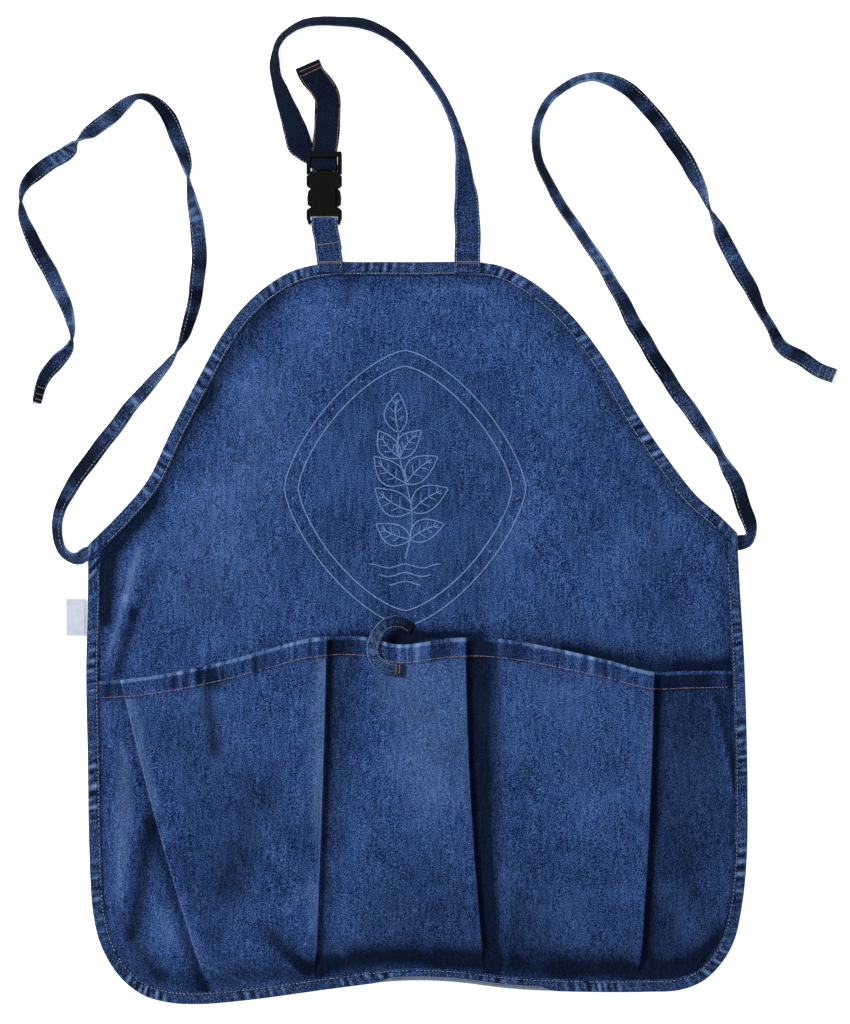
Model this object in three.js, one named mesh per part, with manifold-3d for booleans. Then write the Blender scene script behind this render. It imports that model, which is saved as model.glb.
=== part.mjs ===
// A denim gardening apron lying flat on a table: a bound panel with a pleated pocket panel,
// waist ties, and a neck strap that closes with a side release buckle.
// Millimetres. X runs to the right, Y towards the bib's top edge, Z up from the table.
import * as THREE from "three";
import { mergeVertices } from "three/addons/utils/BufferGeometryUtils.js";
import Module from "manifold-3d";

const wasm = await Module();
wasm.setup();

// Driving sizes of the cloth
const PANEL_WIDTH = 610;
const PANEL_HEIGHT = 688;
const CLOTH = 1.2;
const HEM_THICKNESS = 2.2;
const HEM_DEPTH = 17;
const GAP = 0.3;
const SIDE_TAPE = 11.5;
const TOP_TAPE = 12.5;
const TAPE_FOLD = 1;
const EDGE_SLACK = 1;
const PLEAT_TUCK = 16;
const PLEAT_RADIUS = 1.5;
const PLEAT_HEIGHT = 9.5;
const POCKET_CROWN = 2.5;
const POCKET_RISE = 40;
const CREASE_RISE = 4;
const CREASE_SPREAD = 34;
const SETTLE = 90;

// Driving sizes of the ties, straps, loop and label
const TIE_WIDTH = 14;
const TIE_THICKNESS = 2.6;
const STRAP_WIDTH = 24;
const STRAP_THICKNESS = 2.6;
const STRAP_LAP = 10;
const NECK_REACH = 222;
const LOOP_WIDTH = 11;
const LOOP_THICKNESS = 2.2;
const LABEL_REACH = 19;
const LABEL_PLACE = 0.037;
const LABEL_HEIGHT = 33;
const LABEL_CLOTH = 0.5;

// Driving sizes of the buckle
const RAIL = 3.8;
const SLOT_CLEARANCE = 0.6;
const BAR_RADIUS = 1.5;
const BUCKLE_RISE = 36;
const SOCKET_LENGTH = 46.5;
const ADJUSTER_LENGTH = 21;
const SOCKET_WALL = 1.6;
const PRONG_THICKNESS = 4;
const PRONG_WIDTH = 3;
const BUCKLE_TOP = 8.6;
const SOCKET_BOTTOM = 0.6;

// Places that follow from the sizes
const HALF_WIDTH = PANEL_WIDTH / 2;
const BOUND_UNDERSIDE = CLOTH + GAP;
const PANEL_SLOT = CLOTH + 2 * GAP;
const POCKET_SLOT = 2 * CLOTH + 3 * GAP;
const TOP_BINDING_HEIGHT = 2 * CLOTH + PANEL_SLOT;
const CLOTH_INSET = CLOTH + GAP + EDGE_SLACK;
const STRAP_WRAP = BAR_RADIUS + GAP + STRAP_THICKNESS / 2;
const BAR_HEIGHT = STRAP_THICKNESS / 2 + STRAP_WRAP + GAP;
const SLOT_HALF = STRAP_WIDTH / 2 + SLOT_CLEARANCE;
const BUCKLE_HALF = SLOT_HALF + RAIL;

// Steps along the pieces
const PANEL_COLUMNS = 23;
const PANEL_ROWS = 26;
const TIE_STEPS = 50;
const NECK_STEPS = 66;
const BUCKLE_STRAP_STEPS = 24;

const { smoothstep, lerp, degToRad, radToDeg } = THREE.MathUtils;

// The outline's edges, as shares of the half width and of the height
const SIDE_EDGE = [
  { x: -0.998, y: 0.619 },
  { x: -1.0, y: 0.54 },
  { x: -1.004, y: 0.443 },
  { x: -0.999, y: 0.33 },
  { x: -0.995, y: 0.215 },
  { x: -0.982, y: 0.12 },
  { x: -0.955, y: 0.075 },
  { x: -0.9, y: 0.036, corner: "left" },
  { x: -0.83, y: 0.012 },
  { x: -0.75, y: 0.002 },
  { x: -0.66, y: 0.0 },
  { x: -0.5, y: 0.006 },
  { x: -0.25, y: 0.021 },
  { x: -0.05, y: 0.031 },
  { x: 0.1, y: 0.03 },
  { x: 0.3, y: 0.02 },
  { x: 0.5, y: 0.0165 },
  { x: 0.7, y: 0.0165 },
  { x: 0.8, y: 0.019 },
  { x: 0.87, y: 0.031 },
  { x: 0.925, y: 0.054, corner: "right" },
  { x: 0.965, y: 0.085 },
  { x: 0.99, y: 0.135 },
  { x: 1.004, y: 0.2 },
  { x: 1.006, y: 0.29 },
  { x: 1.002, y: 0.39 },
  { x: 0.993, y: 0.49 },
  { x: 0.982, y: 0.57 },
  { x: 0.974, y: 0.635 },
];
const TOP_EDGE = [
  { x: -0.998, y: 0.619 },
  { x: -0.907, y: 0.659 },
  { x: -0.819, y: 0.705 },
  { x: -0.752, y: 0.767 },
  { x: -0.658, y: 0.848 },
  { x: -0.591, y: 0.902 },
  { x: -0.521, y: 0.942 },
  { x: -0.451, y: 0.969 },
  { x: -0.372, y: 0.989, corner: "left" },
  { x: -0.263, y: 0.999 },
  { x: -0.157, y: 1.0 },
  { x: 0.01, y: 1.0 },
  { x: 0.147, y: 1.0 },
  { x: 0.245, y: 0.996, corner: "right" },
  { x: 0.318, y: 0.9825 },
  { x: 0.39, y: 0.961 },
  { x: 0.47, y: 0.9285 },
  { x: 0.5425, y: 0.888 },
  { x: 0.603, y: 0.848 },
  { x: 0.673, y: 0.794 },
  { x: 0.755, y: 0.74 },
  { x: 0.8495, y: 0.686 },
  { x: 0.9195, y: 0.659 },
  { x: 0.974, y: 0.635 },
];
// The pocket's hem line, in the same shares
const HEM_LINE = [
  { x: -1.0, y: 0.434 },
  { x: -0.889, y: 0.437 },
  { x: -0.734, y: 0.447 },
  { x: -0.579, y: 0.462 },
  { x: -0.448, y: 0.478 },
  { x: -0.318, y: 0.493 },
  { x: -0.153, y: 0.495 },
  { x: -0.053, y: 0.485 },
  { x: 0.105, y: 0.493 },
  { x: 0.26, y: 0.492 },
  { x: 0.415, y: 0.48 },
  { x: 0.57, y: 0.464 },
  { x: 0.707, y: 0.448 },
  { x: 0.819, y: 0.449 },
  { x: 1.0, y: 0.449 },
];
// Pressed pleats: the way each fold faces, and its place at the hem, half way and the bottom
const PLEATS = [
  { facing: -1, hem: -0.884, middle: -0.759, bottom: -0.603 },
  { facing: 1, hem: -0.27, middle: -0.283, bottom: -0.304 },
  { facing: 1, hem: 0.146, middle: 0.163, bottom: 0.207 },
  { facing: 1, hem: 0.708, middle: 0.69, bottom: 0.653 },
];
// Soft folds of the panel: their ends in outline shares, rise and spread as shares of the crease sizes
const CREASES = [
  { x0: -0.86, y0: 0.6, x1: -0.9, y1: 0.47, rise: 1.0, spread: 0.7 },
  { x0: -0.72, y0: 0.66, x1: -0.6, y1: 0.55, rise: 0.5, spread: 1.0 },
  { x0: -0.2, y0: 0.97, x1: -0.24, y1: 0.88, rise: 0.7, spread: 0.7 },
  { x0: 0.1, y0: 0.98, x1: 0.26, y1: 0.93, rise: 0.6, spread: 0.6 },
  { x0: 0.5, y0: 0.8, x1: 0.62, y1: 0.6, rise: 0.5, spread: 1.2 },
  { x0: -0.45, y0: 0.84, x1: -0.56, y1: 0.66, rise: 0.4, spread: 1.2 },
];

// A polyline that is read by its share of length
class Edge {
  constructor(points) {
    this.points = points;
    this.reach = [0];
    for (let i = 1; i < points.length; i++) {
      this.reach.push(this.reach[i - 1] + points[i].distanceTo(points[i - 1]));
    }
    this.length = this.reach.at(-1);
  }

  at(share) {
    const want = THREE.MathUtils.clamp(share, 0, 1) * this.length;
    let i = 1;
    while (i < this.reach.length - 1 && this.reach[i] < want) i++;
    const span = this.reach[i] - this.reach[i - 1];
    return this.points[i - 1].clone().lerp(this.points[i], (want - this.reach[i - 1]) / span);
  }
}

// A smooth curve through a table's rows, in the XY plane
function curveThrough(rows) {
  const points = rows.map((row) => new THREE.Vector3(row.x * HALF_WIDTH, row.y * PANEL_HEIGHT, 0));
  return new THREE.CatmullRomCurve3(points, false, "centripetal");
}

const sideCurve = curveThrough(SIDE_EDGE);
const topCurve = curveThrough(TOP_EDGE);
const hemCurve = new Edge(curveThrough(HEM_LINE).getPoints(120));

// Where a corner row lies along its curve
function cornerAt(rows, corner) {
  return rows.findIndex((row) => row.corner === corner) / (rows.length - 1);
}

// A point of an outline curve and its inward direction; inward is 1 where the cloth is on the left
function edgeFrame(curve, t, inward) {
  const point = curve.getPoint(t);
  const tangent = curve.getTangent(t);
  const normal = new THREE.Vector3(-tangent.y, tangent.x, 0).multiplyScalar(inward);
  return { point, tangent, normal };
}

// Points along a stretch of an outline curve, moved inward by the cloth's inset
function insetRun(curve, from, to, inward, steps = 60) {
  const points = [];
  for (let i = 0; i <= steps; i++) {
    const { point, normal } = edgeFrame(curve, lerp(from, to, i / steps), inward);
    points.push(point.addScaledVector(normal, CLOTH_INSET));
  }
  return points;
}

// The inset corner where the side edge meets the top edge at the waist
function waistCorner(end) {
  const side = edgeFrame(sideCurve, end, 1);
  const top = edgeFrame(topCurve, end, -1);
  const bisector = side.normal.clone().add(top.normal).normalize();
  return side.point.addScaledVector(bisector, CLOTH_INSET / bisector.dot(side.normal));
}

const sideLeft = cornerAt(SIDE_EDGE, "left");
const sideRight = cornerAt(SIDE_EDGE, "right");
const topLeft = cornerAt(TOP_EDGE, "left");
const topRight = cornerAt(TOP_EDGE, "right");

// The panel's four sides: hips and armholes join at the waist corners
const clothEdges = {
  leftHip: new Edge([...insetRun(sideCurve, sideLeft, 0, 1).slice(0, -1), waistCorner(0)]),
  leftArmhole: new Edge([waistCorner(0), ...insetRun(topCurve, 0, topLeft, -1).slice(1)]),
  rightHip: new Edge([...insetRun(sideCurve, sideRight, 1, 1).slice(0, -1), waistCorner(1)]),
  rightArmhole: new Edge([waistCorner(1), ...insetRun(topCurve, 1, topRight, -1).slice(1)]),
  bottom: new Edge(insetRun(sideCurve, sideLeft, sideRight, 1)),
  top: new Edge(insetRun(topCurve, topLeft, topRight, -1)),
};
const WAIST_ROW = 0.58;

// A side of the panel at a row share: the hip below the waist corner, the armhole above it
function panelSide(hip, armhole, row) {
  if (row <= WAIST_ROW) return hip.at(row / WAIST_ROW);
  return armhole.at((row - WAIST_ROW) / (1 - WAIST_ROW));
}

// The panel's plan point at a column and row share, blended from its four sides
function panelPoint(column, row) {
  const left = panelSide(clothEdges.leftHip, clothEdges.leftArmhole, row);
  const right = panelSide(clothEdges.rightHip, clothEdges.rightArmhole, row);
  const bottom = clothEdges.bottom.at(column);
  const top = clothEdges.top.at(column);
  const ruled = left.lerp(right, column).add(bottom.clone().lerp(top, row));
  const lower = clothEdges.bottom.at(0).lerp(clothEdges.bottom.at(1), column);
  const upper = clothEdges.top.at(0).lerp(clothEdges.top.at(1), column);
  return ruled.sub(lower.lerp(upper, row));
}

// The outline as one ring of points, to measure distances from
const outline = [...sideCurve.getPoints(150), ...topCurve.getPoints(150).reverse()];

function distanceToSegment(p, a, b) {
  const span = b.clone().sub(a);
  const share = THREE.MathUtils.clamp(p.clone().sub(a).dot(span) / span.lengthSq(), 0, 1);
  return p.distanceTo(a.clone().addScaledVector(span, share));
}

function edgeDistance(p) {
  let nearest = Infinity;
  for (let i = 0; i < outline.length - 1; i++) {
    if (outline[i].distanceTo(p) < nearest + 20) {
      nearest = Math.min(nearest, distanceToSegment(p, outline[i], outline[i + 1] ?? outline[0]));
    }
  }
  return nearest;
}

function hemHeight(x) {
  const points = hemCurve.points;
  const i = Math.max(1, points.findIndex((point) => point.x >= x));
  const share = (x - points[i - 1].x) / (points[i].x - points[i - 1].x);
  return lerp(points[i - 1].y, points[i].y, share);
}

// How far the panel's underside stands off the table
function panelUnderside(p) {
  const inside = edgeDistance(p);
  const bound = TOP_TAPE + TAPE_FOLD;
  let height = BOUND_UNDERSIDE * (1 - smoothstep(inside, bound, bound + SETTLE));
  const hem = hemHeight(p.x);
  const open = smoothstep(inside, 1.6 * bound, 4 * bound) * smoothstep(p.y, hem, hem + SETTLE / 2);
  for (const crease of CREASES) {
    const from = new THREE.Vector3(crease.x0 * HALF_WIDTH, crease.y0 * PANEL_HEIGHT, 0);
    const to = new THREE.Vector3(crease.x1 * HALF_WIDTH, crease.y1 * PANEL_HEIGHT, 0);
    const across = distanceToSegment(p, from, to) / (crease.spread * CREASE_SPREAD);
    height += open * crease.rise * CREASE_RISE * Math.exp(-across * across);
  }
  return height;
}

// A closed body's geometry, its faces turned outward whatever order its points came in
function closedBody(vertices, triangles) {
  let volume = 0;
  for (const [a, b, c] of triangles) {
    volume += vertices[a].dot(vertices[b].clone().cross(vertices[c]));
  }
  const index = triangles.flatMap(([a, b, c]) => (volume < 0 ? [a, c, b] : [a, b, c]));
  const geometry = new THREE.BufferGeometry().setFromPoints(vertices);
  geometry.setIndex(index);
  geometry.computeVertexNormals();
  return geometry;
}

// A sheet of cloth from the grids of its upper and lower face
function sheet(upper, lower) {
  const rows = upper.length;
  const columns = upper[0].length;
  const vertices = [...upper.flat(), ...lower.flat()];
  const top = (r, c) => r * columns + c;
  const under = (r, c) => rows * columns + r * columns + c;
  const triangles = [];
  const quad = (a, b, c, d) => triangles.push([a, b, c], [a, c, d]);
  for (let r = 0; r < rows - 1; r++) {
    for (let c = 0; c < columns - 1; c++) {
      quad(top(r, c), top(r, c + 1), top(r + 1, c + 1), top(r + 1, c));
      quad(under(r, c), under(r + 1, c), under(r + 1, c + 1), under(r, c + 1));
    }
    quad(top(r + 1, 0), under(r + 1, 0), under(r, 0), top(r, 0));
    const last = columns - 1;
    quad(top(r, last), under(r, last), under(r + 1, last), top(r + 1, last));
  }
  for (let c = 0; c < columns - 1; c++) {
    const last = rows - 1;
    quad(top(0, c), under(0, c), under(0, c + 1), top(0, c + 1));
    quad(top(last, c + 1), under(last, c + 1), under(last, c), top(last, c));
  }
  return closedBody(vertices, triangles);
}

// A body lofted through rings that all repeat one flat section, given for its two end caps
function loft(rings, section) {
  const count = section.length;
  const vertices = rings.flat();
  const triangles = [];
  for (let r = 0; r < rings.length - 1; r++) {
    for (let i = 0; i < count; i++) {
      const j = (i + 1) % count;
      const a = r * count;
      const b = a + count;
      triangles.push([a + i, a + j, b + j], [a + i, b + j, b + i]);
    }
  }
  const last = (rings.length - 1) * count;
  const turn = THREE.ShapeUtils.area(section) > 0 ? 1 : -1;
  for (const [a, b, c] of THREE.ShapeUtils.triangulateShape(section, [])) {
    const cap = turn > 0 ? [a, c, b] : [a, b, c];
    triangles.push(cap, [last + cap[0], last + cap[2], last + cap[1]]);
  }
  return closedBody(vertices, triangles);
}

function finish(name, color, roughness) {
  return new THREE.MeshStandardMaterial({ name, color, roughness, metalness: 0 });
}

const denim = finish("denim", 0x30457a, 0.92);
const tapeDenim = finish("tape denim", 0x3b4f80, 0.9);
const strapDenim = finish("strap denim", 0x25345a, 0.92);
const blackPlastic = finish("black plastic", 0x121411, 0.38);
const labelCloth = finish("label cloth", 0xb4bcd0, 0.7);

const apron = new THREE.Group();

function addPiece(name, geometry, material) {
  const mesh = new THREE.Mesh(geometry, material);
  mesh.name = name;
  apron.add(mesh);
  return mesh;
}

// Shares from 0 to 1 in even steps, with one more line just inside each end
function gridShares(count, margin) {
  const inner = Array.from({ length: count - 1 }, (_, i) => lerp(margin, 1 - margin, i / (count - 2)));
  return [0, ...inner, 1];
}

// The panel: a sheet over a grid, lifted at its bound edges and along its soft folds
function panelGeometry() {
  const upper = [];
  const lower = [];
  const margin = TOP_TAPE / PANEL_WIDTH;
  for (const row of gridShares(PANEL_ROWS, margin)) {
    const points = gridShares(PANEL_COLUMNS, margin).map((column) => panelPoint(column, row));
    lower.push(points.map((p) => new THREE.Vector3(p.x, p.y, panelUnderside(p))));
    upper.push(lower.at(-1).map((p) => new THREE.Vector3(p.x, p.y, p.z + CLOTH)));
  }
  return sheet(upper, lower);
}

// A binding's section: tape folded round the cloth's edge, with a slot for what it holds
function tapeSection(width, slot) {
  const height = 2 * CLOTH + slot;
  const inner = CLOTH;
  return [
    [width, 0],
    [TAPE_FOLD, 0],
    [0, TAPE_FOLD],
    [0, height - TAPE_FOLD],
    [TAPE_FOLD, height],
    [width, height],
    [width, height - CLOTH],
    [inner, height - CLOTH],
    [inner, CLOTH],
    [width, CLOTH],
  ].map(([across, up]) => new THREE.Vector2(across, up));
}

// One ring of a binding: the section set up at an edge frame, its inner side slanted along the edge
function tapeRing(frame, section, slant) {
  return section.map(({ x, y }) => {
    const point = frame.point.clone().addScaledVector(frame.normal, x);
    point.addScaledVector(frame.tangent, slant * x);
    return point.setZ(y);
  });
}

// The angle between the side edge and the armhole edge at a waist corner
function waistAngle(end) {
  const side = sideCurve.getTangent(end);
  const top = topCurve.getTangent(end);
  return Math.PI - side.angleTo(top);
}

// Where the pocket's hem meets a side, as a share of the side curve
function hemShare(end) {
  let [low, high] = end === 0 ? [0, sideLeft] : [sideRight, 1];
  for (let i = 0; i < 24; i++) {
    const t = (low + high) / 2;
    const p = sideCurve.getPoint(t);
    const above = p.y > hemHeight(p.x);
    if (above === (end === 0)) low = t;
    else high = t;
  }
  return low;
}

// The curve parameter at a length along an outline curve from one of its ends
function shareFromEnd(curve, end, length) {
  const share = length / curve.getLength();
  return curve.getUtoTmapping(end === 0 ? share : 1 - share);
}

// The side and bottom binding, cut slanting under the armhole tape at both waist corners
function sideBindingGeometry() {
  const steps = 58;
  const taper = 20;
  const cuts = [0, 1].map((end) => (TOP_TAPE + GAP) / Math.sin(waistAngle(end)));
  const [from, to] = cuts.map((cut, end) => shareFromEnd(sideCurve, end, cut));
  const slants = [-1 / Math.tan(waistAngle(0)), 1 / Math.tan(waistAngle(1))];
  const hems = [0, 1].map((end) => sideCurve.getPoint(hemShare(end)).y + HEM_THICKNESS);
  const rings = [];
  for (let i = 0; i <= steps; i++) {
    const frame = edgeFrame(sideCurve, lerp(from, to, i / steps), 1);
    const hem = hems[i < steps / 2 ? 0 : 1];
    const slot = lerp(POCKET_SLOT, PANEL_SLOT, smoothstep(frame.point.y, hem + taper / 2, hem + 2 * taper));
    const slant = slants[0] * Math.max(0, 1 - i / 3) + slants[1] * Math.max(0, 1 - (steps - i) / 3);
    rings.push(tapeRing(frame, tapeSection(SIDE_TAPE, slot), slant));
  }
  return loft(rings, tapeSection(SIDE_TAPE, POCKET_SLOT));
}

// The armhole and bib binding, cut along the panel's sides at the waist corners
function topBindingGeometry() {
  const steps = 48;
  const slants = [-1 / Math.tan(waistAngle(0)), 1 / Math.tan(waistAngle(1))];
  const section = tapeSection(TOP_TAPE, PANEL_SLOT);
  const rings = [];
  for (let i = 0; i <= steps; i++) {
    const frame = edgeFrame(topCurve, i / steps, -1);
    const slant = slants[0] * Math.max(0, 1 - i / 3) + slants[1] * Math.max(0, 1 - (steps - i) / 3);
    rings.push(tapeRing(frame, section, slant));
  }
  return loft(rings, section);
}

// A pleat's place across the panel at a row share of the pocket
function pleatAt(pleat, row) {
  const middle = 2 * pleat.middle - (pleat.hem + pleat.bottom) / 2;
  const lower = lerp(pleat.bottom, middle, row);
  return lerp(lower, lerp(middle, pleat.hem, row), row) * HALF_WIDTH;
}

// The height of a pocket's front above the cloth that lies on the panel, along the pocket's width
function frontHeight(pocket, x, row) {
  const from = pleatAt(PLEATS[pocket], row);
  const to = pleatAt(PLEATS[pocket + 1], row);
  const share = THREE.MathUtils.clamp((x - from) / (to - from), 0, 1);
  const height = PLEAT_HEIGHT + POCKET_CROWN * Math.sin(Math.PI * share);
  if (PLEATS[pocket].facing < 0) return height;
  return height * smoothstep(x, from + 3 * PLEAT_RADIUS, from + 3 * PLEAT_RADIUS + POCKET_RISE);
}

// The stations of one pleat from its front to the cloth under it: fold, return ply and inner turn
function pleatStations(pleat, row) {
  const { facing } = pleat;
  const crease = pleatAt(pleat, row);
  const bends = [90, 30, -30, -90].map(degToRad);
  const stations = bends.map((angle) => ({
    x: crease + facing * (Math.cos(angle) - 1) * PLEAT_RADIUS,
    z: PLEAT_HEIGHT + (Math.sin(angle) - 1) * PLEAT_RADIUS,
  }));
  const turn = crease - facing * PLEAT_TUCK;
  for (const angle of bends) {
    const x = turn - facing * Math.cos(angle) * PLEAT_RADIUS;
    stations.push({ x, z: (Math.sin(angle) + 1) * PLEAT_RADIUS });
  }
  const front = crease - facing * 1.6 * PLEAT_TUCK;
  const back = crease + facing * 3 * PLEAT_RADIUS;
  stations.forEach((station, i) => {
    station.flat = lerp(front, back, (i + 1) / (stations.length + 1));
  });
  if (facing < 0) stations.reverse();
  return stations;
}

// The stations across the pocket panel at one row, from the left binding to the right one
function pocketStations(row, leftEdge, rightEdge) {
  const bound = SIDE_TAPE + 2 * GAP;
  const creases = PLEATS.map((pleat) => pleatAt(pleat, row));
  const stations = [{ x: leftEdge, z: 0 }, { x: leftEdge + bound, z: 0 }];
  stations.push({ x: lerp(leftEdge + bound, creases[0], 0.6), z: 0.5 });
  stations.push(...pleatStations(PLEATS[0], row));
  for (const pocket of [0, 1, 2]) {
    const next = PLEATS[pocket + 1];
    const nearFold = creases[pocket + 1] - 1.6 * PLEAT_TUCK;
    let from = creases[pocket] + 1.6 * PLEAT_TUCK;
    const places = [];
    if (PLEATS[pocket].facing > 0) {
      const foot = creases[pocket] + 3 * PLEAT_RADIUS;
      places.push(foot, ...[0.25, 0.5, 0.75].map((share) => foot + share * POCKET_RISE));
      from = foot + POCKET_RISE;
    }
    places.push(...[0, 0.25, 0.5, 0.75, 1].map((share) => lerp(from, nearFold, share)));
    stations.push(...places.map((x) => ({ x, z: frontHeight(pocket, x, row) })));
    stations.push(...pleatStations(next, row));
  }
  const last = creases[3] + 3 * PLEAT_RADIUS;
  const swell = 0.25 * PLEAT_HEIGHT;
  stations.push({ x: last, z: 0 }, { x: lerp(last, rightEdge - bound, 0.5), z: swell });
  stations.push({ x: rightEdge - bound, z: 0 }, { x: rightEdge, z: 0 });
  return stations;
}

const POCKET_TOP_ROW = 0.44;

// The panel row that has a given height, found by halving
function rowAtHeight(column, height) {
  let [low, high] = [0, WAIST_ROW];
  for (let i = 0; i < 20; i++) {
    const middle = (low + high) / 2;
    if (panelPoint(column, middle).y < height) low = middle;
    else high = middle;
  }
  return low;
}

// The plan point of a place across the pocket at a pocket row
function pocketPoint(x, row) {
  let panelRow = row * POCKET_TOP_ROW;
  let column = 0;
  for (let pass = 0; pass < 2; pass++) {
    const left = panelPoint(0, panelRow).x;
    const right = panelPoint(1, panelRow).x;
    column = THREE.MathUtils.clamp((x - left) / (right - left), 0, 1);
    panelRow = row * rowAtHeight(column, hemHeight(x));
  }
  return panelPoint(column, panelRow);
}

// The height of the centre of a ply that lies on the panel
function restingPly(p, thickness) {
  return panelUnderside(p) + CLOTH + GAP + thickness / 2;
}

// The pocket panel: rows of stations, flat in the bottom binding and standing in pleats above it
function pocketGeometry() {
  const hemShareOfRow = HEM_DEPTH / (0.45 * PANEL_HEIGHT);
  const rows = [0, 0.045, 0.07, 0.095, 0.125, 0.165, 0.26, 0.4, 0.55, 0.7, 0.84];
  rows.push(1 - hemShareOfRow - 0.008, 1 - hemShareOfRow, 1);
  const upper = [];
  const lower = [];
  for (const row of rows) {
    const leftEdge = panelPoint(0, row * POCKET_TOP_ROW).x;
    const rightEdge = panelPoint(1, row * POCKET_TOP_ROW).x;
    const stations = pocketStations(row, leftEdge, rightEdge);
    const standing = smoothstep(row, 0.045, 0.165);
    const bound = SIDE_TAPE + 2 * GAP;
    const hemmed = row > 1 - hemShareOfRow - 0.004;
    const centres = stations.map(({ x, z, flat }) => {
      const place = lerp(flat ?? x, x, standing);
      const inside = smoothstep(Math.min(x - leftEdge, rightEdge - x), bound, bound + 4 * HEM_THICKNESS);
      const thickness = lerp(CLOTH, hemmed ? HEM_THICKNESS : CLOTH, inside);
      const lift = standing * (z + GAP * inside);
      return { x: place, z: lift, thickness };
    });
    const faces = [1, -1].map((side) =>
      centres.map((centre, i) => {
        const before = centres[Math.max(0, i - 1)];
        const after = centres[Math.min(centres.length - 1, i + 1)];
        const run = new THREE.Vector2(after.x - before.x, after.z - before.z).normalize();
        const half = (side * centre.thickness) / 2;
        const x = THREE.MathUtils.clamp(centre.x - run.y * half, leftEdge, rightEdge);
        const plan = pocketPoint(x, row);
        const rest = restingPly(pocketPoint(centre.x, row), centre.thickness);
        return new THREE.Vector3(plan.x, plan.y, rest + centre.z + run.x * half);
      }),
    );
    upper.push(faces[0]);
    lower.push(faces[1]);
  }
  return sheet(upper, lower);
}

// A flat tape's section with eased edges
function ribbonSection(width, thickness) {
  const [w, t] = [width / 2, thickness / 2];
  const ease = t / 2;
  return [
    [w - ease, -t],
    [w, -t + ease],
    [w, t - ease],
    [w - ease, t],
    [-w + ease, t],
    [-w, t - ease],
    [-w, -t + ease],
    [-w + ease, -t],
  ].map(([across, up]) => new THREE.Vector2(across, up));
}

// A tape along rows of x, y, lift and roll. Lift is the height of its lowest edge and roll its turn
// about its length in degrees. Where hold is 1, its width keeps to the plan angle aim.
function ribbon(rows, width, thickness, steps) {
  const section = ribbonSection(width, thickness);
  const centre = new THREE.CatmullRomCurve3(
    rows.map(({ x, y, lift = 0 }) => new THREE.Vector3(x, y, lift)), false, "centripetal");
  const twists = rows.map(({ roll = 0, hold = 0, aim = 0 }) => new THREE.Vector3(roll, hold, aim));
  const turns = new THREE.CatmullRomCurve3(twists, false, "catmullrom", 0.3);
  const samples = [];
  for (let i = 0; i <= steps; i++) {
    const t = i / steps;
    const point = centre.getPoint(t);
    const turn = turns.getPoint(t);
    const roll = degToRad(turn.x);
    point.z += (Math.abs(Math.sin(roll)) * width + Math.abs(Math.cos(roll)) * thickness) / 2;
    samples.push({ point, roll, hold: THREE.MathUtils.clamp(turn.y, 0, 1), aim: degToRad(turn.z) });
  }
  let side = null;
  const rings = samples.map(({ point, roll, hold, aim }, i) => {
    const before = samples[Math.max(0, i - 1)].point;
    const after = samples[Math.min(steps, i + 1)].point;
    const along = after.clone().sub(before).normalize();
    const fresh = new THREE.Vector3(along.y, -along.x, 0);
    if (fresh.length() > 0.3) {
      fresh.normalize();
      side = side && side.dot(fresh) < 0 ? fresh.negate() : fresh;
    }
    const aimed = new THREE.Vector3(Math.cos(aim), Math.sin(aim), 0);
    if (aimed.dot(side) < 0) aimed.negate();
    const level = side.clone().lerp(aimed, hold).normalize();
    const up = level.clone().cross(along).normalize();
    const across = level.clone().multiplyScalar(Math.cos(roll)).addScaledVector(up, Math.sin(roll));
    const face = up.clone().multiplyScalar(Math.cos(roll)).addScaledVector(level, -Math.sin(roll));
    return section.map(({ x, y }) => point.clone().addScaledVector(across, x).addScaledVector(face, y));
  });
  return loft(rings, section);
}

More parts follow.
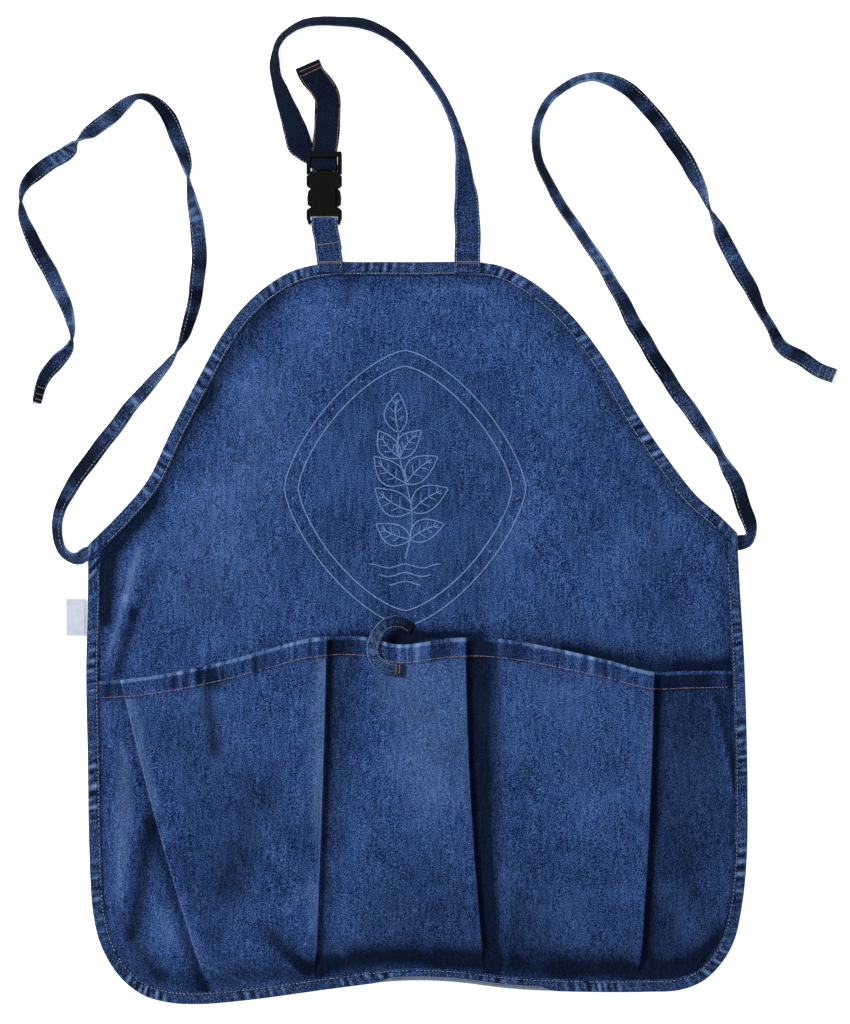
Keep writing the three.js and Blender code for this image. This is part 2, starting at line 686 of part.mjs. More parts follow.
// The ties' routes from the end of the armhole tape: offsets from it, and the turn about their length
const LEFT_TIE = [
  { x: -8, y: -3.5, roll: 34 },
  { x: -16, y: -2.5, roll: 52 },
  { x: -23, y: 3, roll: 54 },
  { x: -27.5, y: 14.5, roll: 50 },
  { x: -28, y: 29, roll: 46 },
  { x: -23.5, y: 46.5, roll: 38 },
  { x: -15, y: 62.5, roll: 22 },
  { x: 0.5, y: 85.5, roll: 8 },
  { x: 15.5, y: 105, roll: 0 },
  { x: 30, y: 124, roll: 14 },
  { x: 45, y: 143, roll: 30 },
  { x: 60, y: 159.5, roll: 42 },
  { x: 74.5, y: 176.5, roll: 60 },
  { x: 84, y: 190.5, roll: 90 },
  { x: 91.5, y: 207, roll: 125 },
  { x: 98, y: 230.5, roll: 142 },
  { x: 102, y: 258, roll: 160 },
  { x: 103, y: 286, roll: 180 },
  { x: 100.5, y: 309, roll: 204 },
  { x: 97, y: 327.5, roll: 230 },
  { x: 93.5, y: 346, roll: 262 },
  { x: 91, y: 363, roll: 310 },
  { x: 84, y: 383.5, roll: 344 },
  { x: 77.5, y: 400, roll: 350 },
  { x: 70, y: 412, roll: 325 },
  { x: 60, y: 421.5, roll: 305 },
  { x: 47, y: 424, roll: 294 },
  { x: 34, y: 416.5, roll: 326 },
  { x: 19, y: 404.5, roll: 360 },
  { x: 5, y: 393.5, roll: 345 },
  { x: -8, y: 384, roll: 285 },
  { x: -20, y: 372, roll: 200 },
  { x: -35, y: 363, roll: 180 },
  { x: -47, y: 354, roll: 205 },
  { x: -56, y: 344.5, roll: 240 },
  { x: -61.5, y: 331.5, roll: 268 },
  { x: -60, y: 314.5, roll: 305 },
  { x: -52.5, y: 294.5, roll: 330 },
  { x: -43, y: 276, roll: 345 },
  { x: -32, y: 255.5, roll: 345 },
  { x: -22.5, y: 236, roll: 330 },
  { x: -16.5, y: 218.5, roll: 310 },
  { x: -14, y: 202.5, roll: 285 },
  { x: -18, y: 189.5, roll: 240 },
  { x: -28.5, y: 178.5, roll: 205 },
  { x: -37.5, y: 167.5, roll: 222 },
  { x: -43, y: 155.5, roll: 238 },
  { x: -47, y: 140.5, roll: 248 },
];
const RIGHT_TIE = [
  { x: 8, y: 1.5, roll: 40 },
  { x: 12, y: 8, roll: 62 },
  { x: 11, y: 17, roll: 36 },
  { x: 7, y: 28.5, roll: 12 },
  { x: 3, y: 42.5, roll: 0 },
  { x: -1, y: 53.5, roll: 6 },
  { x: -6, y: 62.5, roll: 22 },
  { x: -11.5, y: 72, roll: 52 },
  { x: -16.5, y: 81, roll: 70 },
  { x: -22.5, y: 90.5, roll: 58 },
  { x: -34.5, y: 109, roll: 28 },
  { x: -47.5, y: 127.5, roll: 8 },
  { x: -60.5, y: 146, roll: -6 },
  { x: -72.5, y: 164.5, roll: -4 },
  { x: -83.5, y: 183, roll: 0 },
  { x: -95, y: 201.5, roll: 10 },
  { x: -105, y: 220.5, roll: 32 },
  { x: -114.5, y: 237, roll: 46 },
  { x: -126.5, y: 257.5, roll: 55 },
  { x: -142, y: 280.5, roll: 58 },
  { x: -156, y: 301, roll: 58 },
  { x: -167.5, y: 318.5, roll: 58 },
  { x: -176.5, y: 336, roll: 64 },
  { x: -185, y: 354.5, roll: 66 },
  { x: -187.5, y: 373, roll: 64 },
  { x: -185, y: 391.5, roll: 64 },
  { x: -176.5, y: 408.5, roll: 62 },
  { x: -164.5, y: 419.5, roll: 60 },
  { x: -150.5, y: 428, roll: 57 },
  { x: -136.5, y: 431.5, roll: 54 },
  { x: -123.5, y: 430.5, roll: 38 },
  { x: -108.5, y: 425, roll: 18 },
  { x: -90, y: 410.5, roll: 4 },
  { x: -71.5, y: 389, roll: 0 },
  { x: -53, y: 363, roll: -10 },
  { x: -41, y: 342.5, roll: -30 },
  { x: -33.5, y: 327, roll: -62 },
  { x: -28, y: 312, roll: -90 },
  { x: -21.5, y: 299, roll: -120 },
  { x: -16, y: 288, roll: -158 },
  { x: -7, y: 269.5, roll: -180 },
  { x: 2.5, y: 252.5, roll: -186 },
  { x: 12, y: 235, roll: -214 },
  { x: 21, y: 215.5, roll: -244 },
  { x: 30.5, y: 199, roll: -244 },
  { x: 39.5, y: 183, roll: -224 },
  { x: 49, y: 176, roll: -200 },
  { x: 58, y: 171.5, roll: -186 },
  { x: 76.5, y: 160, roll: -180 },
  { x: 89.5, y: 154.5, roll: -180 },
];

// A tie starts at the armhole tape's slanting end and lies along its route
function tieGeometry(end, table) {
  const { point, tangent } = edgeFrame(sideCurve, end, 1);
  const outward = end === 0 ? -1 : 1;
  const cut = TOP_TAPE / Math.sin(waistAngle(end));
  const aside = new THREE.Vector3(outward * GAP, 0, 0);
  const start = point.addScaledVector(tangent, (-outward * cut) / 2).add(aside);
  const aim = radToDeg(Math.atan2(tangent.y, tangent.x));
  const rows = [
    { x: start.x, y: start.y, lift: CLOTH, hold: 1, aim },
    { x: start.x + (outward * TIE_THICKNESS) / 2, y: start.y, lift: CLOTH, hold: 1, aim },
    ...table.map(({ x, y, roll }) => ({ x: start.x + x, y: start.y + y, roll, aim })),
  ];
  return ribbon(rows, TIE_WIDTH, TIE_THICKNESS, TIE_STEPS);
}

// The straps' places on the bib and the buckle's place over them
const bibTop = PANEL_HEIGHT;
const footX = 0.155 * HALF_WIDTH;
const buckle = { x: -0.28 * HALF_WIDTH, y: bibTop + BUCKLE_RISE + SOCKET_LENGTH - BAR_RADIUS - GAP };
const socketTop = buckle.y;
const socketBar = socketTop - SOCKET_LENGTH + 2 * BAR_RADIUS - GAP;
const crossbar = 2.5;
const adjusterBar = socketTop + GAP + crossbar + GAP + STRAP_WRAP + STRAP_THICKNESS / 2;
const adjusterTop = socketTop + ADJUSTER_LENGTH;
const overBinding = TOP_BINDING_HEIGHT + GAP;
const underPlate = 2 * (STRAP_THICKNESS + GAP) + GAP;
const plateStart = adjusterBar + STRAP_WRAP + 5.6;

// Rows of a strap that turns round a bar, from one side of it to the other
function wrapRows(x, y, facing, from, to) {
  return [0, 0.25, 0.5, 0.75, 1].map((share) => {
    const angle = degToRad(lerp(from, to, share));
    const lift = BAR_HEIGHT + Math.sin(angle) * STRAP_WRAP - STRAP_THICKNESS / 2;
    return { x, y: y + facing * Math.cos(angle) * STRAP_WRAP, lift, roll: 0, hold: 1 };
  });
}

// The neck strap's route round the neck: shares of the buckle's distance to the foot and of the reach
const NECK_ROUTE = [
  { across: 1.0, up: 0.0, roll: 0 },
  { across: 1.0, up: 0.092, roll: 0 },
  { across: 0.993, up: 0.196, roll: -16 },
  { across: 0.979, up: 0.3, roll: -44 },
  { across: 0.958, up: 0.426, roll: -62 },
  { across: 0.93, up: 0.509, roll: -71 },
  { across: 0.881, up: 0.593, roll: -72 },
  { across: 0.815, up: 0.676, roll: -72 },
  { across: 0.724, up: 0.76, roll: -70 },
  { across: 0.633, up: 0.835, roll: -72 },
  { across: 0.528, up: 0.902, roll: -68 },
  { across: 0.395, up: 0.96, roll: -64 },
  { across: 0.262, up: 0.99, roll: -60 },
  { across: 0.122, up: 0.998, roll: -63 },
  { across: -0.017, up: 1.0, roll: -64 },
  { across: -0.136, up: 0.99, roll: -66 },
  { across: -0.234, up: 0.96, roll: -70 },
  { across: -0.304, up: 0.919, roll: -72 },
  { across: -0.339, up: 0.868, roll: -76 },
  { across: -0.346, up: 0.81, roll: -68 },
  { across: -0.332, up: 0.752, roll: -68 },
  { across: -0.3, up: 0.693, roll: -58 },
  { across: -0.269, up: 0.635, roll: -50 },
  { across: -0.234, up: 0.585, roll: -40 },
  { across: -0.203, up: 0.53, roll: -26 },
];
// The strap's tail past the adjuster, as offsets from the adjuster's end
const TAIL_ROUTE = [
  { x: 1, y: 8, lift: 1.6 },
  { x: 2.5, y: 30, lift: 0 },
  { x: 2.8, y: 50, lift: 2 },
  { x: -2.5, y: 60, lift: 4 },
  { x: -11, y: 71.5, lift: 1 },
  { x: -15.8, y: 82, lift: 0 },
];

function neckStrapGeometry() {
  const onBib = [
    { x: footX, y: bibTop - STRAP_LAP, lift: overBinding },
    { x: footX, y: bibTop - STRAP_LAP / 2, lift: overBinding },
    { x: footX, y: bibTop + GAP, lift: overBinding },
  ];
  const loop = NECK_ROUTE.map(({ across, up, roll }, i) => ({
    x: lerp(buckle.x, footX, across),
    y: bibTop + lerp(STRAP_LAP, NECK_REACH, up),
    lift: i === 0 ? overBinding / 2 : 0,
    roll,
  }));
  const intoSlot = [
    { x: buckle.x - 0.9 * STRAP_WIDTH, y: adjusterTop + 3, lift: 0, roll: 0, hold: 0.8 },
    { x: buckle.x - 0.5 * STRAP_WIDTH, y: lerp(adjusterTop, adjusterBar, 0.45), lift: 0, roll: 0, hold: 1 },
  ];
  const round = wrapRows(buckle.x, adjusterBar, -1, -90, 90);
  const plate = STRAP_THICKNESS + GAP;
  const plateEnds = [plateStart - GAP, adjusterTop];
  const under = plateEnds.map((y) => ({ x: buckle.x, y, lift: plate, roll: 0, hold: 1 }));
  const tail = TAIL_ROUTE.map(({ x, y, lift }) => ({ x: buckle.x + x, y: adjusterTop + y, lift, roll: 0 }));
  const rows = [...onBib, ...loop, ...intoSlot, ...round, ...under, ...tail];
  return ribbon(rows, STRAP_WIDTH, STRAP_THICKNESS, NECK_STEPS);
}

function buckleStrapGeometry() {
  const lean = 5;
  const seamY = bibTop + STRAP_LAP;
  const lap = STRAP_THICKNESS + GAP;
  const rows = [
    { x: buckle.x + lean, y: bibTop - STRAP_LAP, lift: overBinding },
    { x: buckle.x + lean, y: bibTop - STRAP_LAP / 2, lift: overBinding },
    { x: buckle.x + lean, y: bibTop + GAP, lift: overBinding },
    { x: buckle.x + 0.8 * lean, y: seamY, lift: lap },
    { x: buckle.x + 0.4 * lean, y: lerp(seamY, socketBar, 0.5), lift: lap + 0.5 },
    { x: buckle.x, y: socketBar - 2 * STRAP_WRAP, lift: lap + 2 },
    ...wrapRows(buckle.x, socketBar, 1, 90, -90),
    { x: buckle.x + 0.2 * lean, y: socketBar - 2 * STRAP_WRAP, lift: 0 },
    { x: buckle.x + 0.8 * lean, y: seamY, lift: 0 },
  ];
  return ribbon(rows, STRAP_WIDTH, STRAP_THICKNESS, BUCKLE_STRAP_STEPS);
}

// A three.js geometry as a solid that can be joined and cut, and back again
function toSolid(geometry) {
  const bare = geometry.clone();
  bare.deleteAttribute("normal");
  bare.deleteAttribute("uv");
  const merged = mergeVertices(bare, 1e-5);
  const vertProperties = new Float32Array(merged.attributes.position.array);
  const triVerts = new Uint32Array(merged.index.array);
  return new wasm.Manifold(new wasm.Mesh({ numProp: 3, vertProperties, triVerts }));
}

function fromSolid(solid) {
  const mesh = solid.getMesh();
  const geometry = new THREE.BufferGeometry();
  geometry.setAttribute("position", new THREE.BufferAttribute(new Float32Array(mesh.vertProperties), 3));
  geometry.setIndex(new THREE.BufferAttribute(new Uint32Array(mesh.triVerts), 1));
  geometry.computeVertexNormals();
  return geometry;
}

function boxSolid(x0, x1, y0, y1, z0, z1) {
  const box = new THREE.BoxGeometry(x1 - x0, y1 - y0, z1 - z0);
  return toSolid(box.translate((x0 + x1) / 2, (y0 + y1) / 2, (z0 + z1) / 2));
}

function barSolid(y) {
  const bar = new THREE.CylinderGeometry(BAR_RADIUS, BAR_RADIUS, 2 * SLOT_HALF + RAIL, 12);
  return toSolid(bar.rotateZ(Math.PI / 2).translate(0, y, BAR_HEIGHT));
}

// A plate in the buckle's plan, given by its right half's outline from the middle round to the middle
function plateSolid(rightHalf, z0, z1) {
  const leftHalf = rightHalf.map(([x, y]) => [-x, y]).reverse();
  const shape = new THREE.Shape([...rightHalf, ...leftHalf].map(([x, y]) => new THREE.Vector2(x, y)));
  const options = { depth: z1 - z0, bevelEnabled: false };
  return toSolid(new THREE.ExtrudeGeometry(shape, options).translate(0, 0, z0));
}

const prongBottom = (SOCKET_BOTTOM + BUCKLE_TOP - PRONG_THICKNESS) / 2;
const cavityHalf = BUCKLE_HALF - SOCKET_WALL - GAP;
const waistHalf = 0.64 * BUCKLE_HALF;
const windowTop = -0.26 * SOCKET_LENGTH;
const windowBottom = -0.68 * SOCKET_LENGTH;
const strapSlot = socketBar - socketTop + STRAP_WRAP + STRAP_THICKNESS / 2 + 2 * GAP;

// The socket: shoulders, a narrow plate between two side windows, and a bar for the fixed strap
function socketGeometry() {
  const ease = RAIL / 2;
  const outlineHalf = [
    [BUCKLE_HALF - ease, 0],
    [BUCKLE_HALF, -ease],
    [BUCKLE_HALF, windowTop + ease],
    [BUCKLE_HALF - ease, windowTop],
    [waistHalf, windowTop - ease],
    [waistHalf, windowBottom + ease],
    [BUCKLE_HALF - ease, windowBottom],
    [BUCKLE_HALF, windowBottom - ease],
    [BUCKLE_HALF, -SOCKET_LENGTH + 3 * ease],
    [BUCKLE_HALF - ease, -SOCKET_LENGTH],
    [SLOT_HALF, -SOCKET_LENGTH],
    [SLOT_HALF, strapSlot],
  ];
  const body = plateSolid(outlineHalf.reverse(), SOCKET_BOTTOM, BUCKLE_TOP);
  const cavity = boxSolid(-cavityHalf, cavityHalf, windowBottom + GAP, GAP,
    SOCKET_BOTTOM + SOCKET_WALL, BUCKLE_TOP - SOCKET_WALL);
  return fromSolid(body.subtract(cavity).add(barSolid(socketBar - socketTop)));
}

// The plug: an adjuster frame for the strap, a guide and two prongs whose pads show in the windows
function plugGeometry() {
  const frameBottom = STRAP_THICKNESS + GAP;
  const base = GAP;
  const rails = [-1, 1].map((side) => {
    const [from, to] = [side * SLOT_HALF, side * BUCKLE_HALF].sort((a, b) => a - b);
    return boxSolid(from, to, base, ADJUSTER_LENGTH, frameBottom, BUCKLE_TOP);
  });
  const crossBottom = SOCKET_BOTTOM + SOCKET_WALL + GAP;
  const plateBase = plateStart - socketTop;
  const cross = boxSolid(-BUCKLE_HALF, BUCKLE_HALF, base, base + crossbar, crossBottom, BUCKLE_TOP);
  const plate = boxSolid(-BUCKLE_HALF, BUCKLE_HALF, plateBase, ADJUSTER_LENGTH, underPlate, BUCKLE_TOP);
  let solid = cross.add(plate).add(rails[0]).add(rails[1]).add(barSolid(adjusterBar - socketTop));
  const prongTop = prongBottom + PRONG_THICKNESS;
  const padEnd = windowBottom + 2 * GAP;
  const padOut = BUCKLE_HALF - 2 * GAP;
  const armOut = waistHalf + GAP;
  for (const side of [-1, 1]) {
    const arm = [
      [armOut - PRONG_WIDTH, base + 1],
      [armOut - PRONG_WIDTH, padEnd],
      [armOut, padEnd],
      [padOut - GAP, padEnd + PRONG_WIDTH],
      [padOut, lerp(padEnd, windowTop, 0.5)],
      [padOut - PRONG_WIDTH / 3, windowTop - PRONG_WIDTH],
      [armOut + GAP, windowTop - GAP],
      [armOut, base + 1],
    ].map(([x, y]) => new THREE.Vector2(side * x, y));
    const options = { depth: PRONG_THICKNESS, bevelEnabled: false };
    const prong = new THREE.ExtrudeGeometry(new THREE.Shape(arm), options);
    solid = solid.add(toSolid(prong.translate(0, 0, prongBottom)));
  }
  const guide = boxSolid(-PRONG_WIDTH / 2, PRONG_WIDTH / 2, windowTop, base + 1, prongBottom, prongTop);
  return fromSolid(solid.add(guide));
}

// The tool loop's route: offsets from the hem where it crosses it, and the piece that it lies on
const LOOP_ROUTE = [
  { x: 25, y: 12, on: "panel", lift: 0, roll: 0 },
  { x: 16, y: 17, on: "panel", lift: 4, roll: 6 },
  { x: 5, y: 17.5, on: "panel", lift: 9, roll: 12 },
  { x: -4.5, y: 11.5, on: "pocket", lift: 0.5, roll: 16 },
  { x: -10, y: 1, on: "pocket", lift: 1, roll: 16 },
  { x: -11, y: -9.5, on: "pocket", lift: 1, roll: 12 },
  { x: -6.5, y: -18.5, on: "pocket", lift: 0.6, roll: 8 },
  { x: 3, y: -24, on: "pocket", lift: 0.2, roll: 4 },
  { x: 17.5, y: -26, on: "pocket", lift: 0, roll: 0 },
];

function loopGeometry() {
  const loopX = -0.096 * HALF_WIDTH;
  const hem = hemHeight(loopX);
  const rows = LOOP_ROUTE.map(({ x, y, on, lift, roll }) => {
    const p = new THREE.Vector3(loopX + x, hem + y, 0);
    const panelTop = panelUnderside(p) + CLOTH + GAP;
    const front = on === "pocket" ? frontHeight(1, p.x + LOOP_WIDTH / 2, 1) + HEM_THICKNESS + 3 * GAP : 0;
    return { x: p.x, y: p.y, lift: panelTop + front + lift, roll };
  });
  return ribbon(rows, LOOP_WIDTH, LOOP_THICKNESS, 16);
}

// The care label: a strip of white cloth folded once, caught at the left edge
function labelGeometry() {
  const middle = sideCurve.getPointAt(LABEL_PLACE + LABEL_HEIGHT / sideCurve.getLength() / 2);
  const inner = middle.x - GAP - CLOTH / 2;
  const outer = inner - LABEL_REACH;
  const bend = LABEL_CLOTH + GAP / 2;
  const low = CLOTH;
  const leaf = [
    [inner, low],
    [outer + bend, low],
    [outer, low + bend],
    [outer + bend, low + 2 * bend],
    [inner, low + 2 * bend],
    [inner, low + 2 * bend - LABEL_CLOTH],
    [outer + bend, low + 2 * bend - LABEL_CLOTH],
    [outer + LABEL_CLOTH, low + bend],
    [outer + bend, low + LABEL_CLOTH],
    [inner, low + LABEL_CLOTH],
  ].map(([x, z]) => new THREE.Vector2(x, z));
  const ends = [middle.y - LABEL_HEIGHT / 2, middle.y + LABEL_HEIGHT / 2];
  const rings = ends.map((y) => leaf.map((p) => new THREE.Vector3(p.x, y, p.y)));
  return loft(rings, leaf);
}

addPiece("apron_panel", panelGeometry(), denim);
addPiece("top_binding", topBindingGeometry(), tapeDenim);
addPiece("side_binding", sideBindingGeometry(), tapeDenim);
addPiece("pocket_panel", pocketGeometry(), denim);
addPiece("tool_loop", loopGeometry(), tapeDenim);
addPiece("left_tie", tieGeometry(0, LEFT_TIE), tapeDenim);
addPiece("right_tie", tieGeometry(1, RIGHT_TIE), tapeDenim);
addPiece("neck_strap", neckStrapGeometry(), strapDenim);
addPiece("buckle_strap", buckleStrapGeometry(), strapDenim);
addPiece("buckle_plug", plugGeometry(), blackPlastic).position.set(buckle.x, socketTop, 0);
addPiece("buckle_socket", socketGeometry(), blackPlastic).position.set(buckle.x, socketTop, 0);
addPiece("care_label", labelGeometry(), labelCloth);

// The origin is under the middle of the apron and its neck strap, without the loose ties
const box = new THREE.Box3();
apron.updateMatrixWorld(true);
for (const mesh of apron.children) {
  if (!mesh.name.endsWith("_tie")) box.expandByObject(mesh, true);
}
const middle = box.getCenter(new THREE.Vector3());
apron.position.set(-middle.x, -middle.y, 0);

export default apron;
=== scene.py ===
"""Looks of a denim gardening apron that lies flat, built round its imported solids.

Shapes are worked out in millimetres in the apron's own plan, with Y up from its lowest edge, and
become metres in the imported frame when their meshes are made.
"""

from __future__ import annotations

import logging
import math
from dataclasses import dataclass, field
from enum import Enum

import bmesh
import bpy
import numpy as np
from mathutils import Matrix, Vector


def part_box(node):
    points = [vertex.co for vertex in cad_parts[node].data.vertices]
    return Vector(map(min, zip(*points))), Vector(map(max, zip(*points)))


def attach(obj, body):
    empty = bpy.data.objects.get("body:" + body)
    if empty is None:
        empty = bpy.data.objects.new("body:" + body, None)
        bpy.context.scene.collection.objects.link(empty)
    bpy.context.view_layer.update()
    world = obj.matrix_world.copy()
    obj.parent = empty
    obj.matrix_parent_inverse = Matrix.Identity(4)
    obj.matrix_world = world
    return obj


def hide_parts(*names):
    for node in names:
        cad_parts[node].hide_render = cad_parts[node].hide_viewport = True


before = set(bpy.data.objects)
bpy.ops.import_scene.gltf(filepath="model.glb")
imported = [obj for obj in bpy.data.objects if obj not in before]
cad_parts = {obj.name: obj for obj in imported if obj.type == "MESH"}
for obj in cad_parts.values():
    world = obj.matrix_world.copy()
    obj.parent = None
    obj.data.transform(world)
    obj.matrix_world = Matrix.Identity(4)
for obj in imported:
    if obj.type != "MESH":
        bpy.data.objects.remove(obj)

Array = np.ndarray
Colour = tuple[float, float, float]
log = logging.getLogger("apron")
MM = 0.001
# The angle in degrees up to which threads are shaded as round
THREAD_SMOOTHING = 80.0

# The side and bottom outline from the left waist corner round to the right: shares of half width and height
SIDE_EDGE = np.array([
    (-0.998, 0.619), (-1.0, 0.54), (-1.004, 0.443), (-0.999, 0.33), (-0.995, 0.215), (-0.982, 0.12),
    (-0.955, 0.075), (-0.9, 0.036), (-0.83, 0.012), (-0.75, 0.002), (-0.66, 0.0), (-0.5, 0.006),
    (-0.25, 0.021), (-0.05, 0.031), (0.1, 0.03), (0.3, 0.02), (0.5, 0.0165), (0.7, 0.0165),
    (0.8, 0.019), (0.87, 0.031), (0.925, 0.054), (0.965, 0.085), (0.99, 0.135), (1.004, 0.2),
    (1.006, 0.29), (1.002, 0.39), (0.993, 0.49), (0.982, 0.57), (0.974, 0.635),
])
# The armhole and bib outline from the left waist corner to the right, in the same shares
TOP_EDGE = np.array([
    (-0.998, 0.619), (-0.907, 0.659), (-0.819, 0.705), (-0.752, 0.767), (-0.658, 0.848), (-0.591, 0.902),
    (-0.521, 0.942), (-0.451, 0.969), (-0.372, 0.989), (-0.263, 0.999), (-0.157, 1.0), (0.01, 1.0),
    (0.147, 1.0), (0.245, 0.996), (0.318, 0.9825), (0.39, 0.961), (0.47, 0.9285), (0.5425, 0.888),
    (0.603, 0.848), (0.673, 0.794), (0.755, 0.74), (0.8495, 0.686), (0.9195, 0.659), (0.974, 0.635),
])
# The pocket's hem line, in the same shares
HEM_LINE = np.array([
    (-1.0, 0.434), (-0.889, 0.437), (-0.734, 0.447), (-0.579, 0.462), (-0.448, 0.478), (-0.318, 0.493),
    (-0.153, 0.495), (-0.053, 0.485), (0.105, 0.493), (0.26, 0.492), (0.415, 0.48), (0.57, 0.464),
    (0.707, 0.448), (0.819, 0.449), (1.0, 0.449),
])
# Soft folds: both ends in outline shares, rise and spread
CREASES = np.array([
    (-0.86, 0.6, -0.9, 0.47, 1.0, 0.7), (-0.72, 0.66, -0.6, 0.55, 0.5, 1.0),
    (-0.2, 0.97, -0.24, 0.88, 0.7, 0.7), (0.1, 0.98, 0.26, 0.93, 0.6, 0.6),
    (0.5, 0.8, 0.62, 0.6, 0.5, 1.2), (-0.45, 0.84, -0.56, 0.66, 0.4, 1.2),
])
# The ties' routes: mm from the end of the armhole tape, and turn about the length in degrees
LEFT_TIE = np.array([
    (-8, -3.5, 34), (-16, -2.5, 52), (-23, 3, 54), (-27.5, 14.5, 50), (-28, 29, 46),
    (-23.5, 46.5, 38), (-15, 62.5, 22), (0.5, 85.5, 8), (15.5, 105, 0), (30, 124, 14),
    (45, 143, 30), (60, 159.5, 42), (74.5, 176.5, 60), (84, 190.5, 90), (91.5, 207, 125),
    (98, 230.5, 142), (102, 258, 160), (103, 286, 180), (100.5, 309, 204), (97, 327.5, 230),
    (93.5, 346, 262), (91, 363, 310), (84, 383.5, 344), (77.5, 400, 350), (70, 412, 325),
    (60, 421.5, 305), (47, 424, 294), (34, 416.5, 326), (19, 404.5, 360), (5, 393.5, 345),
    (-8, 384, 285), (-20, 372, 200), (-35, 363, 180), (-47, 354, 205), (-56, 344.5, 240),
    (-61.5, 331.5, 268), (-60, 314.5, 305), (-52.5, 294.5, 330), (-43, 276, 345), (-32, 255.5, 345),
    (-22.5, 236, 330), (-16.5, 218.5, 310), (-14, 202.5, 285), (-18, 189.5, 240), (-28.5, 178.5, 205),
    (-37.5, 167.5, 222), (-43, 155.5, 238), (-47, 140.5, 248),
])
RIGHT_TIE = np.array([
    (8, 1.5, 40), (12, 8, 62), (11, 17, 36), (7, 28.5, 12), (3, 42.5, 0),
    (-1, 53.5, 6), (-6, 62.5, 22), (-11.5, 72, 52), (-16.5, 81, 70), (-22.5, 90.5, 58),
    (-34.5, 109, 28), (-47.5, 127.5, 8), (-60.5, 146, -6), (-72.5, 164.5, -4), (-83.5, 183, 0),
    (-95, 201.5, 10), (-105, 220.5, 32), (-114.5, 237, 46), (-126.5, 257.5, 55), (-142, 280.5, 58),
    (-156, 301, 58), (-167.5, 318.5, 58), (-176.5, 336, 64), (-185, 354.5, 66), (-187.5, 373, 64),
    (-185, 391.5, 64), (-176.5, 408.5, 62), (-164.5, 419.5, 60), (-150.5, 428, 57), (-136.5, 431.5, 54),
    (-123.5, 430.5, 38), (-108.5, 425, 18), (-90, 410.5, 4), (-71.5, 389, 0), (-53, 363, -10),
    (-41, 342.5, -30), (-33.5, 327, -62), (-28, 312, -90), (-21.5, 299, -120), (-16, 288, -158),
    (-7, 269.5, -180), (2.5, 252.5, -186), (12, 235, -214), (21, 215.5, -244), (30.5, 199, -244),
    (39.5, 183, -224), (49, 176, -200), (58, 171.5, -186), (76.5, 160, -180), (89.5, 154.5, -180),
])
# The strap round the neck: shares of the buckle's distance to the foot and of the reach, and turn
NECK_ROUTE = np.array([
    (1.0, 0.0, 0), (1.0, 0.092, 0), (0.993, 0.196, -16), (0.979, 0.3, -44), (0.958, 0.426, -62),
    (0.93, 0.509, -71), (0.881, 0.593, -72), (0.815, 0.676, -72), (0.724, 0.76, -70), (0.633, 0.835, -72),
    (0.528, 0.902, -68), (0.395, 0.96, -64), (0.262, 0.99, -60), (0.122, 0.998, -63), (-0.017, 1.0, -64),
    (-0.136, 0.99, -66), (-0.234, 0.96, -70), (-0.304, 0.919, -72), (-0.339, 0.868, -76), (-0.346, 0.81, -68),
    (-0.332, 0.752, -68), (-0.3, 0.693, -58), (-0.269, 0.635, -50), (-0.234, 0.585, -40), (-0.203, 0.53, -26),
])
# The strap's tail: mm from the adjuster's end, and lift
TAIL_ROUTE = np.array([
    (1, 8, 1.6), (2.5, 30, 0), (2.8, 50, 2), (-2.5, 60, 4), (-11, 71.5, 1), (-15.8, 82, 0),
])
# The tool loop's route: mm from the hem where it crosses it, lift, turn, and 1 where it is on the pocket
LOOP_ROUTE = np.array([
    (25, 12, 0, 0, 0), (16, 17, 4, 6, 0), (5, 17.5, 9, 12, 0), (-4.5, 11.5, 0.5, 16, 1),
    (-10, 1, 1, 16, 1), (-11, -9.5, 1, 12, 1), (-6.5, -18.5, 0.6, 8, 1), (3, -24, 0.2, 4, 1),
    (17.5, -26, 0, 0, 1),
])
# Where each outline turns into the bottom or the bib, and the share of a tape over which its lean dies out
SIDE_CORNERS = (7 / 28, 20 / 28)
TOP_CORNERS = (8 / 23, 13 / 23)
SIDE_FADE = 3 / 58
TOP_FADE = 3 / 48


@dataclass(frozen=True)
class ApronSizes:
    """Named sizes of the apron in millimetres, the same as the solids' own."""

    panel_width: float = 610.0
    panel_height: float = 688.0
    cloth: float = 1.2
    hem_thickness: float = 2.2
    hem_depth: float = 17.0
    gap: float = 0.3
    side_tape: float = 11.5
    top_tape: float = 12.5
    tape_fold: float = 1.0
    edge_slack: float = 1.0
    pleat_tuck: float = 16.0
    pleat_radius: float = 1.5
    pleat_height: float = 9.5
    pocket_crown: float = 2.5
    pocket_rise: float = 40.0
    crease_rise: float = 4.0
    crease_spread: float = 34.0
    settle: float = 90.0
    tie_width: float = 14.0
    tie_thickness: float = 2.6
    strap_width: float = 24.0
    strap_thickness: float = 2.6
    strap_lap: float = 10.0
    neck_reach: float = 222.0
    loop_width: float = 11.0
    loop_thickness: float = 2.2
    bar_radius: float = 1.5
    buckle_rise: float = 36.0
    socket_length: float = 46.5
    adjuster_length: float = 21.0

    @property
    def half_width(self) -> float:
        """Half the panel's width."""
        return self.panel_width / 2

    @property
    def panel_slot(self) -> float:
        """Room that a binding leaves for the panel alone."""
        return self.cloth + 2 * self.gap

    @property
    def pocket_slot(self) -> float:
        """Room that a binding leaves for the panel and the pocket."""
        return 2 * self.cloth + 3 * self.gap

    @property
    def bound(self) -> float:
        """How far from the outline the bindings reach."""
        return self.top_tape + self.tape_fold


SIZES = ApronSizes()


